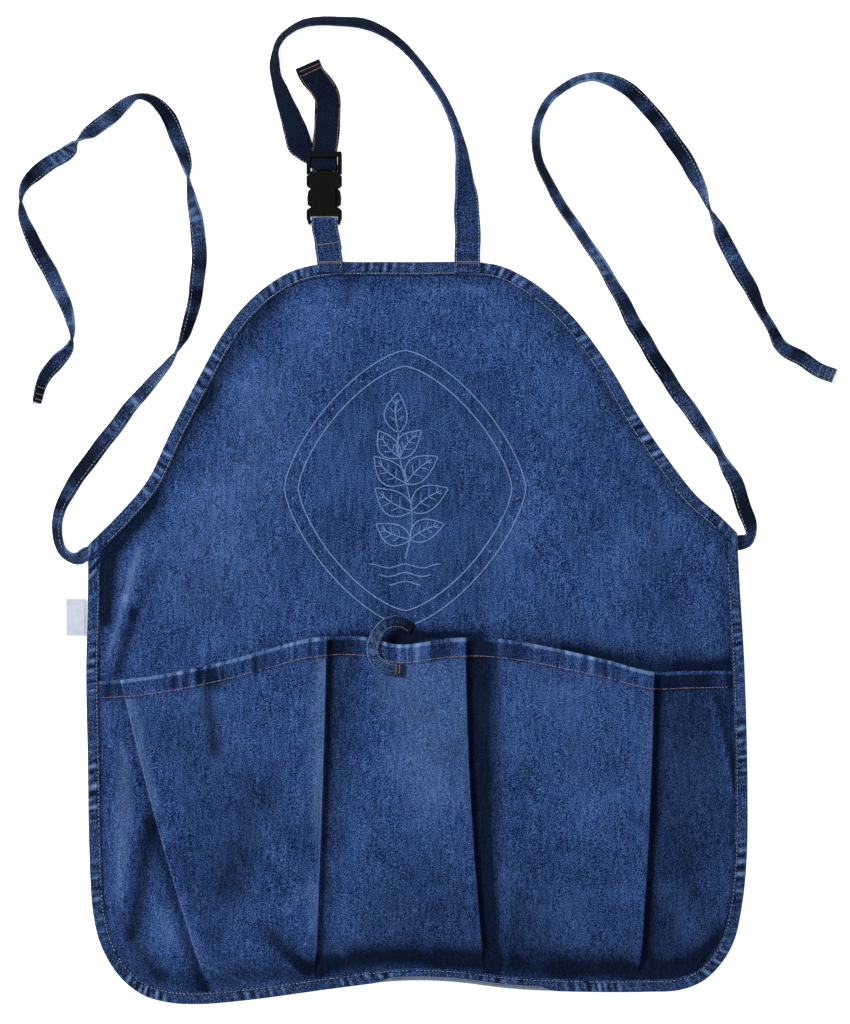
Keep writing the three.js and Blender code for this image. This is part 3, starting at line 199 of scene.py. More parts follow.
@dataclass(frozen=True)
class Pleat:
    """A pressed fold: the way it faces, its place at three heights, the width of the hollow beside it, the
    strength of the painted shade in that hollow, and its pale crest.
    """

    facing: int
    hem: float
    middle: float
    bottom: float
    hollow_top: float
    hollow_bottom: float
    shade_top: float
    shade_bottom: float
    crest: float

    def at(self, row: Array) -> Array:
        """Place across the panel in mm: a curve of the second degree through the three places.

        Args:
            row: share of the pocket's height, from 0 at the bottom to 1 at the hem.

        Returns:
            The fold's X for each row.
        """
        pull = 2 * self.middle - (self.hem + self.bottom) / 2
        lower = self.bottom + (pull - self.bottom) * row
        upper = pull + (self.hem - pull) * row
        return (lower + (upper - lower) * row) * SIZES.half_width


# Each pleat: facing, places at hem, middle and bottom in shares of the half width, the shaded hollow's width
# at top and bottom in mm, the painted shade's strength at top and bottom, and the pale crest's strength
PLEATS = (
    Pleat(-1, -0.884, -0.759, -0.603, 14.0, 14.0, 0.15, 0.34, 0.34),
    Pleat(1, -0.27, -0.283, -0.304, 44.0, 14.0, 0.48, 0.20, 0.36),
    Pleat(1, 0.146, 0.163, 0.207, 42.0, 14.0, 0.96, 0.92, 0.12),
    Pleat(1, 0.708, 0.69, 0.653, 90.0, 90.0, 0.54, 0.46, 0.10),
)


def smoothstep(x: Array, low: Array | float, high: Array | float) -> Array:
    """Smooth rise from 0 at low to 1 at high: t squared times three minus two t."""
    t = np.clip((np.asarray(x, float) - low) / (np.asarray(high, float) - low), 0, 1)
    return t * t * (3 - 2 * t)


def blend(a: Array | float, b: Array | float, share: Array | float) -> Array:
    """Straight blend: a plus share times the way from a to b."""
    return a + (b - a) * share


def bell(distance: Array, width: float) -> Array:
    """A bell of height 1: e to the minus square of distance over width."""
    return np.exp(-((distance / width) ** 2))


def spline(points: Array, t: Array, tension: float | None = None) -> Array:
    """A smooth curve through points: cubic pieces whose end slopes come from the neighbours.

    Args:
        points: the points, along the first axis.
        t: places along the curve from 0 to 1, even in points.
        tension: slope share of a plain curve, or None for one spaced by the root of distance.

    Returns:
        One point for each t.
    """
    points = np.asarray(points, float)
    ends = 2 * points[:1] - points[1:2], 2 * points[-1:] - points[-2:-1]
    padded = np.concatenate([ends[0], points, ends[1]])
    place = np.clip(t, 0, 1) * (len(points) - 1)
    i = np.minimum(place.astype(int), len(points) - 2)
    u = (place - i).reshape((-1,) + (1,) * (points.ndim - 1))
    p0, p1, p2, p3 = (padded[i + k] for k in range(4))
    if tension is None:
        d0, d1, d2 = (
            np.maximum(np.linalg.norm(b - a, axis=-1, keepdims=True), 1e-9) ** 0.5
            for a, b in ((p0, p1), (p1, p2), (p2, p3))
        )
        start = ((p1 - p0) / d0 - (p2 - p0) / (d0 + d1) + (p2 - p1) / d1) * d1
        end = ((p2 - p1) / d1 - (p3 - p1) / (d1 + d2) + (p3 - p2) / d2) * d1
    else:
        start, end = tension * (p2 - p0), tension * (p3 - p1)
    cubic = 2 * (p1 - p2) + start + end
    square = 3 * (p2 - p1) - 2 * start - end
    return p1 + start * u + square * u**2 + cubic * u**3


def unit(vectors: Array) -> Array:
    """Vectors divided by their lengths."""
    return vectors / np.maximum(np.linalg.norm(vectors, axis=-1, keepdims=True), 1e-12)


def reach_of(points: Array) -> Array:
    """Length along a line of points, from 0 at its start."""
    steps = np.linalg.norm(np.diff(points, axis=0), axis=-1)
    return np.concatenate([[0.0], np.cumsum(steps)])


def read_line(line: Array, reach: Array, at: Array | float) -> Array:
    """Points of a line at some reaches, straight between the line's own points."""
    return np.stack([np.interp(at, reach, values) for values in line.T], axis=-1)


def left_of(direction: Array) -> Array:
    """Plan directions turned a quarter to the left."""
    return np.stack([-direction[:, 1], direction[:, 0]], axis=-1)


def raised(plan: Array, height: Array) -> Array:
    """Plan points with their heights."""
    return np.concatenate([plan, height[..., None]], axis=-1)


def wide(values: Array, like: Array) -> Array:
    """Values repeated to the shape of another array."""
    return np.broadcast_to(values, like.shape)


class Edge:
    """A line of plan points that is read by its share of length."""

    def __init__(self, points: Array) -> None:
        """Keeps the points and their share of the length."""
        self.points = np.asarray(points, float)[:, :2]
        reach = reach_of(self.points)
        self.length = float(reach[-1])
        self.shares = reach / self.length

    def at(self, share: Array) -> Array:
        """Points at shares of the length, straight between the line's own points."""
        return read_line(self.points, self.shares, np.clip(share, 0, 1))


def distance_to_line(p: Array, line: Array) -> Array:
    """Least distance from each point to a line of points, by its foot on each straight piece.

    Args:
        p: points, the last axis X and Y.
        line: the line's points.

    Returns:
        The distances, in p's shape without its last axis.
    """
    flat = p.reshape(-1, 2)
    a, span = line[:-1], np.diff(line, axis=0)
    size = (span**2).sum(1)
    nearest = np.empty(len(flat))
    for start in range(0, len(flat), 8000):
        chunk = flat[start : start + 8000, None]
        share = np.clip(((chunk - a) * span).sum(-1) / size, 0, 1)
        away = chunk - a - share[..., None] * span
        nearest[start : start + 8000] = np.sqrt((away**2).sum(-1).min(1))
    return nearest.reshape(p.shape[:-1])


class Outline:
    """One edge curve of the apron, from the left waist corner to the right."""

    def __init__(self, table: Array, inward: int) -> None:
        """Keeps the table in millimetres and the side that the cloth is on.

        Args:
            table: rows of shares of the half width and of the height.
            inward: 1 where the cloth is on the left of the curve, -1 on the right.
        """
        self.rows = table * (SIZES.half_width, SIZES.panel_height)
        self.inward = inward
        self.samples = self.point(np.linspace(0, 1, 1600))
        self.reach = reach_of(self.samples)

    def point(self, t: Array) -> Array:
        """Plan points of the smooth curve at places from 0 to 1."""
        return spline(self.rows, np.asarray(t, float))

    def tangent(self, t: Array) -> Array:
        """Unit direction of the curve from two points close by."""
        t = np.asarray(t, float)
        return unit(self.point(np.minimum(t + 1e-4, 1)) - self.point(np.maximum(t - 1e-4, 0)))

    def normal(self, t: Array) -> Array:
        """Unit direction into the cloth: the tangent turned a quarter."""
        return left_of(self.tangent(t)) * self.inward

    def at_length(self, length: Array) -> Array:
        """The curve's places at lengths from its start."""
        return np.interp(length, self.reach, np.linspace(0, 1, 1600))

    def inset(self, start: float, end: float, depth: float, steps: int = 61) -> Array:
        """Points along a stretch of the curve, moved into the cloth by a depth."""
        t = np.linspace(start, end, steps)
        return self.point(t) + self.normal(t) * depth


class Plan:
    """The apron's plan: its outline, the grid over its panel and the heights of its cloth."""

    waist_row = 0.58
    pocket_top_row = 0.44

    def __init__(self) -> None:
        """Works out the outline's curves and the panel's six inset edges."""
        s = SIZES
        self.side = Outline(SIDE_EDGE, 1)
        self.top = Outline(TOP_EDGE, -1)
        self.hem = spline(HEM_LINE * (s.half_width, s.panel_height), np.linspace(0, 1, 121))
        self.depth = s.cloth + s.gap + s.edge_slack
        left, right = self.waist_corner(0.0), self.waist_corner(1.0)
        side, top, deep = self.side, self.top, self.depth
        low, high = SIDE_CORNERS, TOP_CORNERS
        self.left_hip = Edge(np.vstack([side.inset(low[0], 0, deep)[:-1], left]))
        self.left_arm = Edge(np.vstack([left, top.inset(0, high[0], deep)[1:]]))
        self.right_hip = Edge(np.vstack([side.inset(low[1], 1, deep)[:-1], right]))
        self.right_arm = Edge(np.vstack([right, top.inset(1, high[1], deep)[1:]]))
        self.bottom = Edge(side.inset(low[0], low[1], deep))
        self.bib = Edge(top.inset(high[0], high[1], deep))
        self.outline = np.vstack([side.point(np.linspace(0, 1, 150)), top.point(np.linspace(1, 0, 150))])

    def pocket_ends(self, row: Array) -> tuple[Array, Array]:
        """X of the pocket's left and right edges at shares of its height."""
        left, right = self.ends(row * self.pocket_top_row)
        return left[:, 0], right[:, 0]

    def waist_angle(self, end: float) -> float:
        """The angle between the side edge and the armhole edge at a waist corner."""
        side, top = self.side.tangent([end])[0], self.top.tangent([end])[0]
        return math.pi - math.acos(float(side @ top))

    def waist_corner(self, end: float) -> Array:
        """The inset corner of side and armhole, along the middle of their two inward directions."""
        side, top = self.side.normal([end])[0], self.top.normal([end])[0]
        middle = unit(side + top)
        return self.side.point([end])[0] + middle * self.depth / float(middle @ side)

    def ends(self, row: Array) -> tuple[Array, Array]:
        """The panel's left and right edge points at row shares: hips below the waist, armholes above."""
        below = np.clip(row / self.waist_row, 0, 1)
        above = np.clip((row - self.waist_row) / (1 - self.waist_row), 0, 1)
        low = (np.asarray(row) <= self.waist_row)[..., None]
        left = np.where(low, self.left_hip.at(below), self.left_arm.at(above))
        right = np.where(low, self.right_hip.at(below), self.right_arm.at(above))
        return left, right

    def points(self, column: Array, row: Array) -> Array:
        """Plan points at column and row shares: both pairs of edges blended, less the corners' blend.

        Args:
            column: shares across, from the left edge.
            row: shares up, from the bottom edge.

        Returns:
            The plan points, one for each pair.
        """
        left, right = self.ends(row)
        across, up = np.asarray(column)[..., None], np.asarray(row)[..., None]
        ruled = blend(left, right, across) + blend(self.bottom.at(column), self.bib.at(column), up)
        lower = blend(self.bottom.points[0], self.bottom.points[-1], across)
        upper = blend(self.bib.points[0], self.bib.points[-1], across)
        return ruled - blend(lower, upper, up)

    def hem_height(self, x: Array) -> Array:
        """The hem line's Y at places across."""
        return np.interp(x, self.hem[:, 0], self.hem[:, 1])

    def underside(self, p: Array) -> Array:
        """Height of the panel's underside: bound edges stand up, and soft folds rise as bells.

        Args:
            p: plan points.

        Returns:
            The heights above the table.
        """
        s = SIZES
        inside = distance_to_line(p, self.outline)
        height = (s.cloth + s.gap) * (1 - smoothstep(inside, s.bound, s.bound + s.settle))
        hem = self.hem_height(p[..., 0])
        loose = smoothstep(inside, 1.6 * s.bound, 4 * s.bound)
        loose = loose * smoothstep(p[..., 1], hem, hem + s.settle / 2)
        for x0, y0, x1, y1, rise, spread in CREASES:
            ends = np.array([(x0, y0), (x1, y1)]) * (s.half_width, s.panel_height)
            across = distance_to_line(p, ends)
            height = height + loose * rise * s.crease_rise * bell(across, spread * s.crease_spread)
        return height + 0.25 * loose * self.ripple(p)

    @staticmethod
    def ripple(p: Array) -> Array:
        """Small waves of cloth that doesn't lie quite flat: three long sine waves, from 0 to 2."""
        x, y = p[..., 0], p[..., 1]
        waves = np.sin(x / 17 + y / 61) + np.sin(y / 29 - x / 41 + 1.3) + np.sin(x / 11 + y / 23 + 4.0)
        return 1 + waves / 3

    def panel_top(self, p: Array) -> Array:
        """Height of the panel's upper face."""
        return self.underside(p) + SIZES.cloth

    def row_at(self, column: Array, height: Array) -> Array:
        """The panel row of a given Y, found by halving."""
        low, high = np.zeros_like(column), np.full_like(column, self.waist_row)
        for _ in range(16):
            middle = (low + high) / 2
            under = self.points(column, middle)[..., 1] < height
            low, high = np.where(under, middle, low), np.where(under, high, middle)
        return low

    def pocket_point(self, x: Array, row: Array) -> Array:
        """Plan points at places across the pocket: the row's share of the way up to the hem line."""
        panel_row = row * self.pocket_top_row
        for _ in range(2):
            left, right = self.ends(panel_row)
            column = np.clip((x - left[..., 0]) / (right[..., 0] - left[..., 0]), 0, 1)
            panel_row = row * self.row_at(column, self.hem_height(x))
        return self.points(column, panel_row)

    def hem_place(self, end: int) -> Array:
        """Where the hem line meets a side edge."""
        t = np.linspace(0, SIDE_CORNERS[0], 400) if end == 0 else np.linspace(SIDE_CORNERS[1], 1, 400)
        line = self.side.point(t)
        return line[np.abs(line[:, 1] - self.hem_height(line[:, 0])).argmin()]


PLAN = Plan()


def frame_shift() -> Array:
    """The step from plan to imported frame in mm, from the side binding's lowest corner."""
    low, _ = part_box("side_binding")
    edge = PLAN.side.samples.min(axis=0)
    return np.array([low.x / MM - edge[0], low.y / MM - edge[1], 0.0])


SHIFT = frame_shift()


@dataclass
class Surface:
    """Faces in plan millimetres with what the finishes read at each vertex."""

    vertices: Array
    faces: Array
    # Per vertex: wear and painted shading, above 0 paler and below 0 darker
    wear_and_shading: Array
    cloth: Array
    smooth_angle: float = 50.0

    @staticmethod
    def joined(parts: list[Surface]) -> Surface:
        """Several surfaces as one, their faces counted on."""
        starts = np.cumsum([0] + [len(part.vertices) for part in parts[:-1]])
        return Surface(
            np.concatenate([part.vertices for part in parts]),
            np.concatenate([part.faces + start for part, start in zip(parts, starts)]),
            np.concatenate([part.wear_and_shading for part in parts]),
            np.concatenate([part.cloth for part in parts]),
            parts[0].smooth_angle,
        )


def grid_quads(rows: int, columns: int) -> Array:
    """Faces of a grid of points that are counted row by row."""
    index = np.arange(rows * columns).reshape(rows, columns)
    return np.stack([index[:-1, :-1], index[:-1, 1:], index[1:, 1:], index[1:, :-1]], axis=-1).reshape(-1, 4)


def closed_sheet(upper: Array, lower: Array, wear_and_shading: Array, cloth: Array | None = None) -> Surface:
    """A closed sheet of cloth from the grids of its two faces, joined round the rim.

    Args:
        upper: rows of points of the upper face.
        lower: rows of points of the lower face.
        wear_and_shading: wear and painted shading at each point of the upper face, below 0 in a hollow, where
            shade is painted.
        cloth: place on the cloth at each point, across and along in mm, or None for the plan.

    Returns:
        The sheet with its faces outward.
    """
    rows, columns = upper.shape[:2]
    count = rows * columns
    top = np.arange(count).reshape(rows, columns)
    face = grid_quads(rows, columns)
    quads = [face, face[:, ::-1] + count]
    for line, flip in ((top[0], 1), (top[-1], 0), (top[:, 0], 0), (top[:, -1], 1)):
        rim = np.stack([line[:-1], line[1:], line[1:] + count, line[:-1] + count], axis=-1)
        quads.append(rim[:, ::-1] if flip else rim)
    vertices = np.concatenate([upper.reshape(-1, 3), lower.reshape(-1, 3)])
    faces = np.concatenate(quads)
    a, b, c, d = (vertices[faces[:, k]] for k in range(4))
    volume = (a * (np.cross(b, c) + np.cross(c, d))).sum()
    if volume < 0:
        faces = faces[:, ::-1]
    place = (upper[..., :2] if cloth is None else cloth).reshape(-1, 2)
    return Surface(vertices, faces, np.tile(wear_and_shading.reshape(-1), 2), np.tile(place, (2, 1)))


def link(name: str, data: bpy.types.ID) -> bpy.types.Object:
    """A new object in the scene."""
    made = bpy.data.objects.new(name, data)
    bpy.context.scene.collection.objects.link(made)
    return made


def make_piece(name: str, surface: Surface, material: bpy.types.Material) -> bpy.types.Object:
    """An object from a surface, riding on the apron's one body.

    Args:
        name: the piece's name.
        surface: its faces in plan millimetres.
        material: its finish.

    Returns:
        The object, at the origin with its place in its mesh.
    """
    mesh = bpy.data.meshes.new(name)
    vertices = ((surface.vertices + SHIFT) * MM).astype(np.float32)
    faces = surface.faces
    corners = faces.shape[1]
    mesh.vertices.add(len(vertices))
    mesh.vertices.foreach_set("co", vertices.reshape(-1))
    mesh.loops.add(faces.size)
    mesh.loops.foreach_set("vertex_index", faces.reshape(-1).astype(np.int32))
    mesh.polygons.add(len(faces))
    mesh.polygons.foreach_set("loop_start", np.arange(0, faces.size, corners, dtype=np.int32))
    mesh.polygons.foreach_set("use_smooth", np.ones(len(faces), bool))
    mesh.update(calc_edges=True)
    # The per-vertex wear and painted shading that the finishes read
    wear_and_shading = mesh.attributes.new("wear_and_shading", "FLOAT", "POINT")
    wear_and_shading.data.foreach_set("value", surface.wear_and_shading.astype(np.float32))
    layer = mesh.uv_layers.new(name="cloth")
    layer.data.foreach_set("uv", (surface.cloth[faces.reshape(-1)] * MM).astype(np.float32).reshape(-1))
    mesh.set_sharp_from_angle(angle=math.radians(surface.smooth_angle))
    mesh.materials.append(material)
    piece = link(name, mesh)
    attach(piece, "root")
    log.info("%s: %d faces", name, len(faces))
    return piece


class Follows(Enum):
    """What a weave follows: the plan of the flat apron, or a tape's own length."""

    PLAN = "plan"
    TAPE = "tape"


class Shade:
    """A socket that takes part in shader sums; each operator adds one Math node."""

    def __init__(self, graph: Graph, socket: bpy.types.NodeSocket) -> None:
        """Keeps the graph and the socket."""
        self.graph = graph
        self.socket = socket

    def math(self, operation: str, *values: Shade | float) -> Shade:
        """One Math node on values in their order."""
        settings = {"operation": operation}
        node = self.graph.node("ShaderNodeMath", settings, dict(enumerate(values)))
        return Shade(self.graph, node.outputs[0])

    def __add__(self, other: Shade | float) -> Shade:
        """Sum."""
        return self.math("ADD", self, other)

    __radd__ = __add__

    def __sub__(self, other: Shade | float) -> Shade:
        """Difference."""
        return self.math("SUBTRACT", self, other)

    def __rsub__(self, other: float) -> Shade:
        """Difference from a number."""
        return self.math("SUBTRACT", other, self)

    def __mul__(self, other: Shade | float) -> Shade:
        """Product."""
        return self.math("MULTIPLY", self, other)

    __rmul__ = __mul__

    def at_least(self, limit: float) -> Shade:
        """This value, or the limit where it is lower."""
        return self.math("MAXIMUM", self, limit)

    def at_most(self, limit: float) -> Shade:
        """This value, or the limit where it is higher."""
        return self.math("MINIMUM", self, limit)

    def between(self, low: float, high: float) -> Shade:
        """Smooth share of the way from low to high, kept from 0 to 1."""
        settings = {"interpolation_type": "SMOOTHSTEP"}
        values = {"Value": self, "From Min": low, "From Max": high}
        return Shade(self.graph, self.graph.node("ShaderNodeMapRange", settings, values).outputs[0])


class Graph:
    """A material's nodes, with one way to add any of them."""

    def __init__(self, name: str) -> None:
        """Starts an empty material."""
        self.material = bpy.data.materials.new(name)
        self.material.use_nodes = True
        self.tree = self.material.node_tree
        self.tree.nodes.clear()

    def node(self, kind: str, settings: dict | None = None, values: dict | None = None) -> bpy.types.Node:
        """Adds a node.

        Args:
            kind: the node's type.
            settings: its properties, set first; stops are a ramp's places and colours.
            values: numbers, colours or links of its sockets, by name or number.

        Returns:
            The node.
        """
        node = self.tree.nodes.new(kind)
        for key, value in (settings or {}).items():
            if key == "stops":
                self.set_stops(node.color_ramp, value)
            else:
                setattr(node, key, value)
        for key, value in (values or {}).items():
            self.feed(node.inputs[key], value)
        return node

    def feed(self, socket: bpy.types.NodeSocket, value: object) -> None:
        """Links a socket or sets its value."""
        if isinstance(value, Shade):
            self.tree.links.new(value.socket, socket)
        elif isinstance(value, tuple) and socket.type == "RGBA":
            socket.default_value = (*value, 1.0)
        else:
            socket.default_value = value

    @staticmethod
    def set_stops(ramp: bpy.types.ColorRamp, stops: tuple) -> None:
        """Sets a ramp's stops from pairs of place and colour."""
        while len(ramp.elements) < len(stops):
            ramp.elements.new(0.5)
        for element, (place, colour) in zip(ramp.elements, stops):
            element.position = place
            element.color = (*colour, 1.0)

    def mix(self, factor: Shade | float, a: Shade | Colour, b: Shade | Colour) -> Shade:
        """Colour a turned into b by the factor."""
        settings = {"data_type": "RGBA", "clamp_factor": True}
        return Shade(self, self.node("ShaderNodeMix", settings, {0: factor, 6: a, 7: b}).outputs[2])

    def attribute(self, name: str) -> Shade:
        """A piece's own attribute."""
        return Shade(self, self.node("ShaderNodeAttribute", {"attribute_name": name}).outputs["Fac"])

    def place(self, follows: Follows, scale: tuple = (1, 1, 1), turn: float = 0.0) -> Shade:
        """Places for a pattern: the object's own or the cloth map's, scaled and turned."""
        if follows is Follows.PLAN:
            source = self.node("ShaderNodeTexCoord").outputs["Object"]
        else:
            source = self.node("ShaderNodeUVMap", {"uv_map": "cloth"}).outputs["UV"]
        values = {"Vector": Shade(self, source), "Scale": scale, "Rotation": (0.0, 0.0, turn)}
        return Shade(self, self.node("ShaderNodeMapping", None, values).outputs[0])

    def noise(self, place: Shade, grain: float, detail: float = 2.0, rough: float = 0.5) -> Shade:
        """Noise whose grains are about so many metres wide."""
        values = {"Vector": place, "Scale": 1 / grain, "Detail": detail, "Roughness": rough}
        return Shade(self, self.node("ShaderNodeTexNoise", None, values).outputs[0])

    def waves(self, place: Shade, pitch: float, bend: float) -> Shade:
        """Stripes along X, one for each pitch in metres, with bent edges."""
        values = {"Vector": place, "Scale": math.tau / 20 / pitch, "Distortion": bend, "Detail": 2.0}
        return Shade(self, self.node("ShaderNodeTexWave", {"wave_type": "BANDS"}, values).outputs["Fac"])

    def finish(self, shader: dict, bump: Shade, height: float, strength: float) -> bpy.types.Material:
        """Closes the graph with one Principled shader and its bump.

        Args:
            shader: values of the shader's sockets.
            bump: height pattern, from 0 to 1.
            height: the pattern's height in metres.
            strength: share of the bump that shows.

        Returns:
            The material.
        """
        values = {"Strength": strength, "Distance": height, "Height": bump}
        normal = Shade(self, self.node("ShaderNodeBump", None, values).outputs[0])
        surface = self.node("ShaderNodeBsdfPrincipled", None, {**shader, "Normal": normal})
        self.node("ShaderNodeOutputMaterial", None, {"Surface": Shade(self, surface.outputs[0])})
        return self.material


@dataclass(frozen=True)
class DenimFinish:
    """Indigo twill: dark warp with pale flecks; the piece's attribute paints rubbed wear and painted
    highlights above 0, and darker tone and painted shade in its hollows below 0.
    """

    name: str
    follows: Follows
    base: Colour = (0.0085, 0.0250, 0.1080)
    # Dark colour of the flecks, of darker tone and of painted shade
    dark: Colour = (0.0022, 0.0046, 0.0120)
    pale: Colour = (0.0720, 0.1450, 0.3650)
    # Pale colour of rubbed wear and of painted highlights
    wear_and_shading: Colour = (0.175, 0.280, 0.500)
    fleck: float = 0.00074
    patch: float = 0.07

    def build(self) -> bpy.types.Material:
        """Makes the material.

        Returns:
            Denim whose colour follows flecks, twill lines, patches and the piece's attribute of wear and
            painted shading.
        """
        g = Graph(self.name)
        wear_and_shading = g.attribute("wear_and_shading")
        flecks = g.noise(g.place(self.follows, (1.0, 0.75, 1.0), 0.12), self.fleck, 2.0, 0.65)
        slubs = g.noise(g.place(self.follows, (1.0, 0.16, 1.0)), 0.0024, 2.0, 0.6)
        patches = g.noise(g.place(self.follows), self.patch, 3.0, 0.55)
        twill = g.waves(g.place(self.follows, turn=math.radians(26)), 0.0011, 1.2)
        grain = flecks * 0.67 + slubs * 0.15 + twill * 0.06 + patches * 0.12
        light = grain.between(0.485, 0.60)
        deep = 1 - grain.between(0.41, 0.51)
        colour = g.mix(light, self.base, self.pale)
        colour = g.mix(deep * 0.95, colour, self.dark)
        # Above 0 the attribute paints rubbed wear and painted highlights
        rubbed_and_highlit = wear_and_shading.at_least(0.0) * (0.30 + flecks * 1.1)
        colour = g.mix(rubbed_and_highlit, colour, self.wear_and_shading)
        # Below 0 it paints darker tone and painted shade in hollows
        hollow = (0 - wear_and_shading).at_least(0.0) * 1.1
        colour = g.mix((hollow * (0.9 + flecks * 0.2)).at_most(0.92), colour, self.dark)
        relief = twill * 0.45 + flecks * 0.55
        shader = {
            "Base Color": colour,
            "Roughness": 0.88 - flecks * 0.14,
            "IOR": 1.05,
        }
        return g.finish(shader, relief, 0.0004, 0.55)


@dataclass(frozen=True)
class ThreadFinish:
    """Twisted sewing thread, a little uneven along its length."""

    name: str
    colour: Colour
    shade: Colour

    def build(self) -> bpy.types.Material:
        """Makes the material: two shades by fine noise, with a diagonal twist."""
        g = Graph(self.name)
        grain = g.noise(g.place(Follows.PLAN), 0.004, 3.0, 0.7)
        twist = g.waves(g.place(Follows.PLAN, turn=math.radians(40)), 0.0006, 0.5)
        colour = g.mix(grain.between(0.3, 0.7), self.shade, self.colour)
        shader = {"Base Color": colour, "Roughness": 0.7 - grain * 0.1, "Sheen Weight": 0.2}
        return g.finish(shader, twist, 0.0002, 0.5)


@dataclass(frozen=True)
class PlasticFinish:
    """Black moulded plastic: a fine spark texture, faint scuffs and paler rubbed patches."""

    name: str = "black moulded plastic"
    colour: Colour = (0.0012, 0.0019, 0.0010)
    scuff: Colour = (0.010, 0.011, 0.009)

    def build(self) -> bpy.types.Material:
        """Makes the material."""
        g = Graph(self.name)
        grain = g.noise(g.place(Follows.PLAN), 0.0005, 3.0, 0.6)
        patches = g.noise(g.place(Follows.PLAN), 0.007, 4.0, 0.6)
        scratches = g.noise(g.place(Follows.PLAN, (1.0, 0.08, 1.0), 0.5), 0.0009, 2.0, 0.5)
        marks = scratches.between(0.66, 0.76) * patches.between(0.45, 0.7)
        colour = g.mix(marks * 0.5 + patches.between(0.5, 0.9) * 0.15, self.colour, self.scuff)
        shader = {
            "Base Color": colour,
            "Roughness": 0.32 + grain * 0.10 + marks * 0.12,
            "Specular IOR Level": 0.07,
        }
        return g.finish(shader, grain + marks * 0.4, 0.00012, 0.35)


@dataclass(frozen=True)
class LabelFinish:
    """Bare white satin ribbon: fine warp lines across, darker in patches, at its inner end and at its fold.
    """

    name: str = "white satin ribbon"
    colour: Colour = (0.42, 0.45, 0.54)
    darker_tone: Colour = (0.22, 0.24, 0.31)

    def build(self) -> bpy.types.Material:
        """Makes the material."""
        g = Graph(self.name)
        lines = g.waves(g.place(Follows.PLAN, turn=math.radians(90)), 0.0005, 0.3)
        patches = g.noise(g.place(Follows.PLAN), 0.008, 3.0, 0.6)
        wear_and_shading = g.attribute("wear_and_shading")
        colour = g.mix(patches.between(0.4, 0.8) * 0.35 + (0 - wear_and_shading).between(0, 1), self.colour, self.darker_tone)
        shader = {"Base Color": colour, "Roughness": 0.5 + lines * 0.1, "Sheen Weight": 0.3}
        return g.finish(shader, lines, 0.0001, 0.4)


@dataclass(frozen=True)
class FloorFinish:
    """A plain pale floor with a barely uneven tone."""

    name: str = "pale floor"

    def build(self) -> bpy.types.Material:
        """Makes the material."""
        g = Graph(self.name)
        grain = g.noise(g.place(Follows.PLAN), 0.05, 2.0, 0.5)
        colour = g.mix(grain, (0.88, 0.88, 0.88), (0.90, 0.90, 0.90))
        values = {"Base Color": colour, "Roughness": 0.9, "Emission Color": colour, "Emission Strength": 0.85}
        return g.finish(values, grain, 0.0001, 0.1)


@dataclass(frozen=True)
class Finishes:
    """Every finish of the apron, made once."""

    panel: bpy.types.Material
    pocket: bpy.types.Material
    tape: bpy.types.Material
    ribbon: bpy.types.Material
    strap: bpy.types.Material
    reverse: bpy.types.Material
    plastic: bpy.types.Material
    label: bpy.types.Material
    pale_thread: bpy.types.Material
    tan_thread: bpy.types.Material
    rose_thread: bpy.types.Material
    floor: bpy.types.Material

    @staticmethod
    def make() -> Finishes:
        """Builds them all."""
        # near_black: the ties' and straps' darkest colour, for their dark flecks, darker tone and painted
        # shade
        plan, tape, near_black = Follows.PLAN, Follows.TAPE, (0.0026, 0.0042, 0.0082)
        return Finishes(
            panel=DenimFinish("panel denim", plan).build(),
            pocket=DenimFinish("pocket denim", plan, base=(0.0088, 0.0260, 0.1130)).build(),
            tape=DenimFinish("binding denim", tape, base=(0.0110, 0.0240, 0.0740), fleck=0.0011).build(),
            ribbon=DenimFinish("tie denim", tape, base=(0.0100, 0.0200, 0.0560), pale=(0.066, 0.122, 0.280),
                               dark=near_black, fleck=0.0010).build(),
            strap=DenimFinish("strap denim", tape, base=(0.0085, 0.0205, 0.0720), dark=near_black,
                              fleck=0.0010).build(),
            reverse=DenimFinish("tape's inner side", tape, base=(0.16, 0.21, 0.28), dark=(0.07, 0.10, 0.15),
                                pale=(0.28, 0.33, 0.39), wear_and_shading=(0.34, 0.38, 0.43)).build(),
            plastic=PlasticFinish().build(),
            label=LabelFinish().build(),
            pale_thread=ThreadFinish("pale thread", (0.27, 0.33, 0.46), (0.12, 0.16, 0.28)).build(),
            tan_thread=ThreadFinish("tan thread", (0.30, 0.155, 0.085), (0.13, 0.065, 0.04)).build(),
            rose_thread=ThreadFinish("rose thread", (0.36, 0.235, 0.245), (0.16, 0.11, 0.14)).build(),
            floor=FloorFinish().build(),
        )


def thread_tubes(vertices: Array, rings: int) -> Surface:
    """Closed tubes of thread: walls between their rings and a fan over each end, turned outward.

    Args:
        vertices: points by tube, ring and side.
        rings: how many rings a tube has.

    Returns:
        All the tubes, unworn.
    """
    sides = vertices.shape[-2]
    index = np.arange(rings * sides).reshape(rings, sides)
    after = np.roll(index, -1, axis=1)
    walls = np.stack([index[:-1], after[:-1], after[1:], index[1:]], axis=-1).reshape(-1, 4)
    step = np.arange(1, sides - 1)
    first = np.stack([0 * step, step + 1, step], axis=-1)
    last = np.stack([0 * step, step, step + 1], axis=-1) + index[-1, 0]
    triangles = np.concatenate([walls[:, [0, 1, 2]], walls[:, [0, 2, 3]], first, last])
    vertices = vertices.reshape(-1, 3)
    starts = np.arange(len(vertices) // index.size)[:, None, None] * index.size
    faces = (triangles + starts).reshape(-1, 3)
    a, b, c = (vertices[triangles[:, k]] - vertices[0] for k in range(3))
    if (a * np.cross(b, c)).sum() < 0:
        faces = faces[:, ::-1]
    return Surface(vertices, faces, np.zeros(len(vertices)), vertices[:, :2].copy(), THREAD_SMOOTHING)


